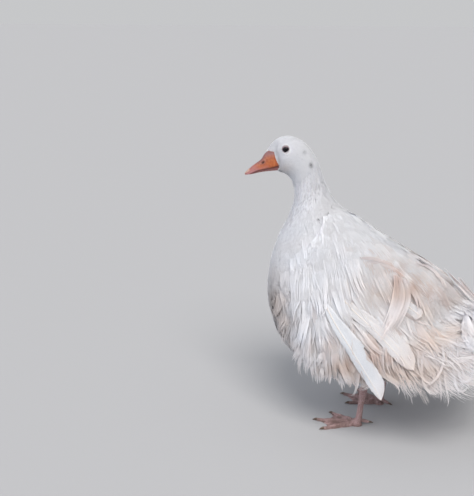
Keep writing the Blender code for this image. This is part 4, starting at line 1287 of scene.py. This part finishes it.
# Skin: one piece under the coat, inside the solids by the coat's depth, with the wings' own slabs, the
# thighs, the tail's stub and a lid ring round each eye
skinForm = {"head": 1.1 * mm, "neck": 3.0 * mm, "trunk": 9.0 * mm, "wing": 9.0 * mm, "wingThick": 3.0 * mm,
            "thigh": 2.0 * mm, "lidHalf": (6.1 * mm, 5.35 * mm), "lidWide": 0.6 * mm, "lidSkirt": 2.6,
            "tuck": 9 * mm, "stubShort": 24, "stubScale": 0.55, "lidThick": 0.5 * mm, "lidOver": 0.15 * mm}
eyeRadius = 7.2 * mm


def lidRing(side, sign):
    # a flattened roll round the eye opening, an ellipse laid on the globe, thicker above where the upper lid
    # folds; its outer side runs on under the feathers
    phi = np.arange(72)[:, None] / 72 * 2 * np.pi
    psi = np.arange(14)[None] / 14 * 2 * np.pi
    upper = ease(np.sin(phi))  # 1 at the top of the upper lid
    wide = skinForm["lidWide"] * (1 + 0.25 * upper)
    roll = wide * np.cos(psi) * np.where(np.cos(psi) > 0, skinForm["lidSkirt"], 0.9)
    ringX, ringZ = (half + roll for half in skinForm["lidHalf"])
    across, above = ringX * np.cos(phi), ringZ * np.sin(phi)
    reach = eyeRadius + skinForm["lidOver"] + skinForm["lidThick"] * np.sin(psi) * (1 + 0.3 * upper)
    # past the globe's edge the roll leans back on to the face
    flat = np.minimum(np.hypot(across, above), eyeRadius * 0.92)
    depth = np.sqrt(reach**2 - flat**2) - 0.85 * np.maximum(np.hypot(across, above) - 5.8 * mm, 0)
    axes = (headAcross * sign, headForward, headUp)
    ring = eyeCentre[side] + sum(axis * far[..., None] for axis, far in zip(axes, (depth, across, above)))
    return ring, psi + 0 * phi


def closedRings(grid):
    # a ring of rings made a tube that ends where it starts
    return np.concatenate([grid, grid[:1]])


def buildSkin():
    # the body form less an inset that is the coat's depth: trunk, neck and head, thinnest round the eyes
    steps = np.concatenate([np.arange(0, 11, 0.125), np.linspace(11, 16, 141)])[:, None]
    around = np.arange(144)[None] / 144 * 2 * np.pi
    sheet = Sheet(bodyPoint(steps, around), True)
    stand = relief(steps, around, sheet.points)
    inset = mix(skinForm["trunk"], skinForm["neck"], ease((steps - 6.2) / 2.2))
    inset = mix(inset, skinForm["head"], ease((steps - 10.4) / 1.6)) * ease(steps / 0.6 + 0.35)
    gap = eyeDistance(sheet.points) / mm
    inset = mix(inset * np.ones_like(gap), 0.6 * mm, hill(np.maximum(gap - 7.2, 0), 0, 1.6) * (steps > 11))
    flesh = sheet.points + sheet.normal * (stand - inset)[..., None]
    tucked = flesh[-1].mean(0) + (flesh[-1:] - flesh[-1].mean(0)) * 0.7 - headForward * skinForm["tuck"]
    shells = [np.concatenate([flesh, tucked])]
    # bare lid skin just round the eye, and a wider faint ring of painted shade on the skin between the short
    # feathers beside it
    rim = (0.7 * hill(gap, 5.8, 1.2) + 0.16 * hill(gap, 8.5, 3.0)) * (steps > 11)
    bare = [np.concatenate([rim, rim[-1:]])]
    stub = tail.points[: tailGrid["rows"] - skinForm["stubShort"]]
    middle = stub.mean(1, keepdims=True)
    shells.append(middle + (stub - middle) * skinForm["stubScale"])
    bare.append(0.0)
    for side, sign in bothSides:
        shells.append(thigh[side].points - thigh[side].normal * skinForm["thigh"])
        bare.append(0.0)
        grid = mantle[side]
        part = (slice(4, -5), slice(2, 54))
        fade = ease(np.arange(52) / 8)[None, :, None]
        outer = grid.points[part] - grid.normal[part] * (skinForm["wing"] * (0.4 + 0.6 * fade))
        inner = outer - grid.normal[part] * skinForm["wingThick"]
        shells.append(np.concatenate([outer, inner[:, ::-1]], 1))
        bare.append(0.0)
        ring, psi = lidRing(side, sign)
        shells.append(closedRings(ring))
        bare.append(closedRings(1 - 0.15 * ease(np.cos(psi) + 0.35)))
    points, quads, marks = joined(shells, {"bare": bare})
    marks.update(markings(points), along=1.0, tint=0.5)
    return finished(newMesh("skin", points, quads, marks), feather, "plumage", "trunk", "neck", "head",
                    "tail", "thigh_left", "thigh_right", "wing_left", "wing_right")


buildSkin()
print("stage: skin")

# Eyes: a wet globe, nearly black, with a cornea that stands a little proud. The iris is a very dark slate,
# and the black pupil nearly fills it.
eyeLook = {"cornea": 0.35 * mm, "corneaReach": 0.5, "rows": 44, "around": 48,
           "pupil": (0.36, 0.42), "iris": (0.72, 0.80)}  # their soft edges, in radians from the axis


def eyeMaterial():
    # pupil, iris and rim follow each other by the angle from the eye's axis
    made, tree = newMaterial("corneaWetOverIris", Roughness=0.06, IOR=1.38, Specular_IOR_Level=0.3)
    polar = addNode(tree, "Attribute", out="Fac", attribute_name="polar")
    pastPupil, pastIris = (addNode(tree, "MapRange", {"Value": polar}, From_Min=start, From_Max=end)
                           for start, end in (eyeLook["pupil"], eyeLook["iris"]))
    place = addNode(tree, "TexCoord", out="Object")
    fibres = grain(tree, place, 2600, 3.0, 0.35, 0.7)  # iris fibres of about 0.4 mm
    iris = layered(tree, "#150f17", (fibres, "#221a24"))
    return dressed(made, layered(tree, "#050406", (pastPupil, iris), (pastIris, "#140c10")))


eyeball = eyeMaterial()
for side, sign in bothSides:
    polar = np.linspace(0.01, np.pi - 0.01, eyeLook["rows"])[:, None]
    around = np.arange(eyeLook["around"])[None] / eyeLook["around"] * 2 * np.pi
    reach = (eyeRadius + eyeLook["cornea"] * hill(polar, 0, eyeLook["corneaReach"]))[..., None]
    square = headForward * np.cos(around)[..., None] + headUp * np.sin(around)[..., None]
    direction = headAcross * sign * np.cos(polar)[..., None] + np.sin(polar)[..., None] * square
    globe = eyeCentre[side] + direction * reach
    solidPiece("eyeball_" + side, [globe], eyeball, "eye", ["eye_" + side], {"polar": [polar]})
print("stage: eyes")

# Bill, as in the solids: top (y, z), mouth line (y, z), keel (y, z), upper and lower half width, in mm
billTable = (
    (-163.5, 488.5, -142.5, 463.4, -143, 453.4, 14.0, 11.4),  # base, in the feathers
    (-170.5, 482.8, -156.5, 459.2, -156, 452.2, 13.4, 11.0),
    (-177, 472.6, -169.5, 456.3, -169, 450.6, 12.5, 10.3),  # nostril
    (-186.5, 465, -182, 453.2, -181.5, 448.2, 11.8, 9.4),
    (-196, 457.4, -193, 448.2, -192, 445.4, 10.8, 7.8),  # nail root
    (-203, 450.6, -201, 445.2, -199, 444.4, 8.2, 4.4),  # nail
    (-206.4, 446.4, -205.6, 444.4, -204.4, 443.9, 3.2, 1.4),  # tip
)
billForm = {"plateBack": 18.0, "plateFlare": 0.16, "plateBox": 0.55, "gap": 0.39, "rows": 90, "arc": 84,
            "under": 26, "palate": 1.6, "nostril": (1.85, 0.30, 37, 8.0, 1.7), "nail": (4.25, 0.35),
            "lamella": 1.5, "lowerEnd": 4.7}


def billShell(upper):
    # arched sections between mouth and crest or keel, flat at the mouth with a hollow palate; the upper sides
    # reach back beside the culmen; nostril, nail, flange and lamellae are small heights square to that form
    step = np.linspace(0, 6.0 if upper else billForm["lowerEnd"], billForm["rows"])[:, None]
    arc = np.linspace(0, np.pi, billForm["arc"])[None]
    row = spline(billTable, step[:, 0])[:, None]
    rise = np.sin(arc) ** (0.85 if upper else 0.7)
    crest = row[..., 0:2] if upper else row[..., 4:6]
    half = row[..., 6] if upper else row[..., 7]
    mouthZ = row[..., 3] - (0 if upper else billForm["gap"])
    boxy = 1 - (billForm["plateBox"] * ease(1 - step / 1.6) if upper else 0)
    x = half * np.sign(np.cos(arc)) * np.abs(np.cos(arc)) ** boxy * (1 - 0.12 * rise)
    y = row[..., 2] + (crest[..., 0] - row[..., 2]) * rise
    z = mouthZ + (crest[..., 1] - mouthZ) * rise
    if upper:
        beside = np.sin(np.pi / 2 * np.clip(np.cos(arc) ** 2 * 4.5, 0, 1))
        y = y + billForm["plateBack"] * rise**0.9 * beside * ease(1 - step)
        x = x * (1 + billForm["plateFlare"] * rise * beside * ease(1 - step))
    shell = Sheet(np.stack([x, y, z], -1))
    degrees = np.degrees(np.minimum(arc, np.pi - arc))
    height = 0 * x
    if upper:
        at, along, place, wide, deep = billForm["nostril"]
        tilt = (degrees - place) / wide - (step - at) * 0.8
        off = ((step - at) / along) ** 2 + tilt**2
        nostril = np.exp(-(off**1.6))
        rim = hill(np.sqrt(off), 1.45, 0.35)
        nailFrom, nailSoft = billForm["nail"]
        onNail = ease((step - nailFrom) / nailSoft + 0.5) * ease((degrees - 28) / 14)
        groove = hill(step, nailFrom - 0.12, 0.14) * ease((degrees - 22) / 14)
        height = -deep * nostril + 0.25 * rim + 0.4 * onNail - 0.22 * groove
        height = height - 0.5 * hill(degrees, 62, 14) * hill(step, 1.7, 1.2) + 0.25 * hill(degrees, 4, 6)
    reachY = (-row[..., 2] - 142) / billForm["lamella"]
    height = height + 0.16 * np.cos(2 * np.pi * reachY) * hill(degrees, 0, 5) * ease(5 - step)
    outer = shell.points + shell.normal * height[..., None]
    back = np.linspace(np.pi, 0, billForm["under"] + 2)[None, 1:-1]
    hollow = billForm["palate"] * np.sin(back) ** 0.6 * ease((5.5 - step) / 1.5)
    inX = half * np.cos(back) * 0.96
    inner = np.stack([inX, row[..., 2] + 0 * inX, mouthZ + (hollow if upper else -hollow * 0.6)], -1)
    grid = np.concatenate([outer, inner], 1)
    base = grid[0].mean(0)
    roots = [base + (grid[0] - base) * scale + (0, push, 0) for push, scale in ((7, 0.86), (3.5, 0.95))]
    grid = np.concatenate([np.array(roots), grid])
    ones = np.ones_like(x)
    if upper:
        brown = 1.6 * hill(degrees, 92, 40) * ease((3.6 - step) / 1.4)
        edgePink = 0.5 * hill(degrees, 5, 10) * ease(step - 0.8)
        # the dark mark is painted shade in the nostril and along the mouth line; the brown at the very base
        # is a painted shadow under the feathers, the rest of the brown, on culmen and nostril rim, is the
        # bill's own colour
        marks = {
            "dark": np.maximum(nostril, 0.75 * hill(degrees, 0, 3.0) * ease((5 - step) / 1.5)),
            "brown": np.clip(brown + 0.4 * rim + 0.3 * hill(step, 0.0, 0.25), 0, 1),
            "pink": np.clip(0.8 * ease((step - 2.2) / 1.6) + edgePink, 0, 1),
            "pale": onNail,
        }
    else:
        # painted shade along the mouth line, and brown painted shade in the corner of the gape
        gape = hill(step, 0.1, 0.5) * hill(degrees, 0, 14)
        marks = {"dark": 0.6 * hill(degrees, 0, 4.0), "brown": 0.35 * gape, "pink": 0.85,
                 "pale": 0.3 * ease((step - 3.9) / 0.6)}
    edges = ((2, 0), (0, billForm["under"]))
    marks = {key: [np.pad(value * ones, edges, mode="edge")] for key, value in marks.items()}
    return turned(grid * mm, pose["headTurn"]), marks


# Bill sheath: living waxy skin over bone. Satin, orange at the cheek with a brown-violet culmen, pink
# towards the tip and a pale horny nail; fine wrinkles of about 1 mm and pores.
# the darkest colour is painted shade in nostril, mouth line and gape, and the stain brown is partly painted
# shade at the base and gape
def billMaterial():
    made, tree = newMaterial("billSheathWaxy", Roughness=0.42, Specular_IOR_Level=0.45,
                             Subsurface_Weight=0.15, Subsurface_Scale=1.5 * mm,
                             Subsurface_Radius=(1.0, 0.4, 0.2))
    keys = ("pink", "brown", "pale", "dark")
    read = {key: addNode(tree, "Attribute", out="Fac", attribute_name=key) for key in keys}
    place = addNode(tree, "TexCoord", out="Object")
    mottle = grain(tree, place, 260, 3.0, 0.35, 0.7)  # patches of about 4 mm
    speckle = grain(tree, place, 900, 2.0, 0.52, 0.62)  # speckles of about 1 mm
    speckle = addNode(tree, "Math", {0: speckle, 1: 0.3, 2: 0.7}, operation="MULTIPLY_ADD")
    stainAndShade = addNode(tree, "Math", {0: read["brown"], 1: speckle}, operation="MULTIPLY")
    colour = layered(tree, "#9a4b24", (mottle, "#b26839"), (read["pink"], "#9c6868"), (stainAndShade, "#775a60"),
                     (read["pale"], "#b59a8c"), (read["dark"], "#381a1a"))
    wrinkles = addNode(tree, "TexVoronoi", {"Vector": place}, Scale=800.0, feature="DISTANCE_TO_EDGE")
    return dressed(made, colour, wrinkles, 0.25, 0.3 * mm)


billSheath = billMaterial()
for name, upper in (("bill_upper", True), ("bill_lower", False)):
    shell, marks = billShell(upper)
    solidPiece(name + "_sheath", [shell], billSheath, "bill", [name], marks, 55)
print("stage: bill")

# Feet: three webbed toes and a small hind toe, in mm from the ball of the foot
footForm = {
    "toes": {"outer": (38, 66), "middle": (9, 74), "inner": (-24, 59)},  # degrees outwards, length
    "toeHalf": 5.0, "toeHeight": 8.5, "webHeight": 3.4, "webEdge": 1.8, "ball": (9.6, 10.2), "joints": 3,
    "columns": 300, "rows": 40,
    "hind": {"start": 8, "length": 14, "height": 9, "drop": 2.5, "half": 3.4, "angle": 18},
    "claw": {"length": 7.5, "half": 2.6, "hindHalf": 2.0, "height": 2.9, "drop": 1.9},
}


def toeFrame(side, sign, name):
    # unit vectors ahead and outwards of one toe, and the ball of the foot, in mm
    ball = np.array((*ballSpot[side], 0.0))
    if name == "hind":
        out = np.radians(footForm["hind"]["angle"]) * sign
        return ball, np.array((-np.sin(out), np.cos(out), 0)), np.array((np.cos(out), np.sin(out), 0))
    out = np.radians(footForm["toes"][name][0]) * sign
    return ball, np.array((np.sin(out), -np.cos(out), 0)), np.array((np.cos(out), np.sin(out), 0))


def toeProfile(ahead, aside, length):
    # height of a toe's rounded ridge at a place ahead and aside of the ball: an arch whose width and height
    # fall to the tip and swell at each joint
    share = np.clip(ahead / length, 0, 1)
    swell = 1 + 0.14 * np.cos(share * 2 * footForm["joints"] * np.pi)
    half = footForm["toeHalf"] * (1 - 0.42 * share) * swell
    nearTip = np.clip((ahead - length + 3.5) / 3.5, 0, 1)
    half = half * np.sqrt(1 - nearTip**2) * (ahead > -4)
    top = footForm["toeHeight"] * (1.25 - 0.7 * share) * (0.5 + 0.5 * swell)
    arch = np.sqrt(np.clip(1 - (aside / np.maximum(half, 0.01)) ** 2, 0, 1)) * (half > 0.05)
    return top * arch


def footShell(side, sign):
    # a height over polar coordinates round the ball: the outline is the furthest point inside toes, web or
    # ball at each angle, the top follows the highest of them and rounds off there, and the sole is flat
    front = np.linspace(-52, 66, footForm["columns"] - 60)
    rear = np.linspace(66, 308, 62)[1:-1]
    theta = np.radians(np.concatenate([front, rear]))

    def heights(rho):
        forward, outward = rho * np.cos(theta)[:, None], rho * np.sin(theta)[:, None]
        found = []
        for degrees, length in footForm["toes"].values():
            c, s = np.cos(np.radians(degrees)), np.sin(np.radians(degrees))
            found.append(toeProfile(forward * c + outward * s, outward * c - forward * s, length))
        tips = {k: (np.radians(d), l - 4) for k, (d, l) in footForm["toes"].items()}
        web = 0 * forward
        for first, second in (("inner", "middle"), ("middle", "outer")):
            (t0, l0), (t1, l1) = tips[first], tips[second]
            share = (theta[:, None] - t0) / (t1 - t0)
            across = l1 * np.sin(t1 - theta[:, None]) + l0 * np.sin(theta[:, None] - t0)
            edge = l0 * l1 * np.sin(t1 - t0) / (across + 1e-9)  # the straight line between the two toes' tips
            edge = edge * (1 - 0.13 * np.sin(np.pi * np.clip(share, 0, 1)))
            inside = (share >= 0) & (share <= 1) & (rho < edge)
            fold = 1 + 0.10 * np.cos(share * 6 * np.pi) * ease(rho / 40)
            thick = mix(footForm["webHeight"], footForm["webEdge"], ease(rho / edge))
            web = np.where(inside, thick * fold, web)
        ballReach, ballHeight = footForm["ball"]
        ball = ballHeight * np.sqrt(np.clip(1 - (rho / ballReach) ** 2, 0, 1)) + 0 * forward
        found += [web, ball]
        return np.sum([np.clip(h, 0, None) ** 5 for h in found], 0) ** 0.2

    probe = np.linspace(0.2, 80, 800)[None]
    outline = np.where(heights(probe) > 0.6, probe, 0).max(1)[:, None]
    g = 1 - (1 - np.linspace(0.02, 1, footForm["rows"])[None]) ** 1.5
    rho = outline * g
    top = np.maximum(heights(rho * 0.998), 0.8)
    edge = np.clip((outline - rho) / 1.6, 0, 1)
    top = top * (0.3 + 0.7 * np.sqrt(1 - (1 - edge) ** 2))
    ball, ahead, aside = toeFrame(side, sign, "middle")
    c, s = (turn(np.radians(footForm["toes"]["middle"][0])) for turn in (np.cos, np.sin))
    ahead, aside = ahead * c - aside * sign * s, aside * c + ahead * sign * s
    forward, outward = rho * np.cos(theta)[:, None], rho * np.sin(theta)[:, None]
    flat = ball + ahead * forward[..., None] + aside * sign * outward[..., None]
    over = flat + headUp * top[..., None]
    return np.concatenate([over, flat[:, -2::-1]], 1).transpose(1, 0, 2) * mm


def hindTube(side, sign):
    # a short tube back from the ball that sinks a little and narrows to its tip
    look = footForm["hind"]
    ball, back, _ = toeFrame(side, sign, "hind")
    share = np.array((-0.5, 0.0, 0.35, 0.7, 0.94, 1.0))
    centres = ball + back * (look["start"] + look["length"] * share)[:, None]
    centres = centres + headUp * (look["height"] - look["drop"] * np.clip(share, 0, 1))[:, None]
    halves = look["half"] * np.array((1.0, 1.0, 0.95, 0.86, 0.62, 0.25))[:, None] * (1, 1)
    return tubeGrid(centres * mm, halves * mm, 20, 26, up=(0, 0, 1))


def clawTube(side, sign, name):
    # a curved cone that starts a hair's breadth beyond the toe
    look = footForm["claw"]
    hind = name == "hind"
    ball, ahead, _ = toeFrame(side, sign, name)
    if hind:
        start = ball + ahead * (footForm["hind"]["start"] + footForm["hind"]["length"])
        start = start + headUp * (footForm["hind"]["height"] - footForm["hind"]["drop"])
    else:
        start = ball + ahead * footForm["toes"][name][1] + headUp * look["height"]
    s = np.linspace(-0.18, 1, 9)
    past = np.clip(s, 0, 1)
    centres = start + ahead * (0.3 + look["length"] * s)[:, None] - headUp * (look["drop"] * past**2)[:, None]
    halves = (look["hindHalf"] if hind else look["half"]) * (1 - 0.9 * past**1.5)[:, None] * (0.9, 1)
    return tubeGrid(centres * mm, halves * mm, 18, 22, up=(0, 0, 1))


# Leg skin: small horny scales over soft skin, dull pink, darker between the scales and browner with dirt
# towards the sole
def legMaterial():
    made, tree = newMaterial("legScalesHorny", Roughness=0.58, Specular_IOR_Level=0.35)
    place = addNode(tree, "TexCoord", out="Object")
    scales = addNode(tree, "TexVoronoi", {"Vector": place}, Scale=430.0, feature="DISTANCE_TO_EDGE")  # 2.3 mm
    between = addNode(tree, "MapRange", {"Value": scales}, From_Min=0.0, From_Max=0.16)
    skinColour = layered(tree, "#ae9090", (grain(tree, place, 120, 2.0, 0.35, 0.65), "#bfa2a1"))
    height = addNode(tree, "SeparateXYZ", {"Vector": place}, "Z")
    low = addNode(tree, "MapRange", {"Value": height}, From_Min=0.022, From_Max=0.0)
    dirt = addNode(tree, "Math", {0: low, 1: grain(tree, place, 90, 4.0, 0.35, 0.6)}, operation="MULTIPLY")
    dirt = addNode(tree, "Math", {0: dirt, 1: 0.75}, operation="MULTIPLY")
    colour = layered(tree, "#7c6160", (between, skinColour), (dirt, "#5c4a42"))
    return dressed(made, colour, between, 0.6, 0.4 * mm)


# Claw: horn, dark brown and satin, a little paler in streaks
def clawMaterial():
    made, tree = newMaterial("clawHorn", Roughness=0.38, Specular_IOR_Level=0.5)
    streak = grain(tree, addNode(tree, "TexCoord", out="Object"), 500, 3.0, 0.3, 0.7)
    return dressed(made, layered(tree, "#3f322b", (streak, "#6e5a4c")))


legScales, clawHorn = legMaterial(), clawMaterial()
for side, sign in bothSides:
    ankle, hock, knee = legPoints(side, sign)
    shank = legTube(ankle - (0, 0, 5), hock, legForm["shank"], 36, 64)
    shells = [footShell(side, sign), shank, hindTube(side, sign)]
    solidPiece("leg_" + side, shells, legScales, "leg_skin", ["shank_" + side, "foot_" + side], sharp=60)
    toes = [*footForm["toes"], "hind"]
    shells = [clawTube(side, sign, name) for name in toes]
    solidPiece("claws_" + side, shells, clawHorn, "claw", [f"claw_{side}_{name}" for name in toes])
print("stage: legs and claws")
coat = [count for name, count in triangleCount.items()
        if any(part in name for part in ("coat", "mantle", "locks"))]
print("triangles in all:", sum(triangleCount.values()), "in the coat:", sum(coat))

camera = bpy.data.cameras.new("view")
camera.sensor_width = 36
cameraLook = {"azimuth": 111.8209, "pitch": 15.6, "place": (1.4467, 0.3494, 0.73), "focalPixels": 850,
              "longSide": 496}
camera.lens = cameraLook["focalPixels"] * camera.sensor_width / cameraLook["longSide"]
viewer = bpy.data.objects.new("view", camera)
bpy.context.scene.collection.objects.link(viewer)
viewer.location = np.array(cameraLook["place"]) + shift
viewer.rotation_euler = (np.pi / 2 - np.radians(cameraLook["pitch"]), 0, np.radians(cameraLook["azimuth"]))
bpy.context.scene.camera = viewer

# Light: two broad suns, so that the floor is lit evenly to its edge, and a pale room all round
studio = {
    "key": {"from": (1.0, 0.6, 1.5), "strength": 2.65, "spread": 34, "colour": "#fffaf3"},
    "fill": {"from": (1.0, -1.2, 0.7), "strength": 1.1, "spread": 60, "colour": "#eaf1ff"},
    "room": ("#f2f3f5", 0.64), "floor": "#adaeb1", "floorReach": 40,
}
for name in ("key", "fill"):
    look = studio[name]
    lamp = bpy.data.lights.new(name, "SUN")
    lamp.energy = look["strength"]
    lamp.angle = np.radians(look["spread"])
    lamp.color = toLinear(look["colour"])[:3]
    thing = bpy.data.objects.new(name, lamp)
    bpy.context.scene.collection.objects.link(thing)
    x, y, z = look["from"]
    thing.location = look["from"]
    thing.rotation_euler = (np.arctan2(np.hypot(x, y), z), 0, np.arctan2(x, -y))
world = bpy.data.worlds.new("studio")
world.use_nodes = True
world.node_tree.nodes["Background"].inputs["Color"].default_value = toLinear(studio["room"][0])
world.node_tree.nodes["Background"].inputs["Strength"].default_value = studio["room"][1]
bpy.context.scene.world = world
bpy.context.scene.view_settings.view_transform = "Standard"

reach = studio["floorReach"]
floorMesh = bpy.data.meshes.new("floor")
corners = [(-reach, -reach, 0), (reach, -reach, 0), (reach, reach, 0), (-reach, reach, 0)]
floorMesh.from_pydata(corners, [], [(0, 1, 2, 3)])
floor = bpy.data.objects.new("floor", floorMesh)
bpy.context.scene.collection.objects.link(floor)
floorPaint, _ = newMaterial("floorPaintRolled", Base_Color=toLinear(studio["floor"]), Roughness=0.9,
                            Specular_IOR_Level=0.0)
floorMesh.materials.append(floorPaint)
print("stage: camera, light and floor")
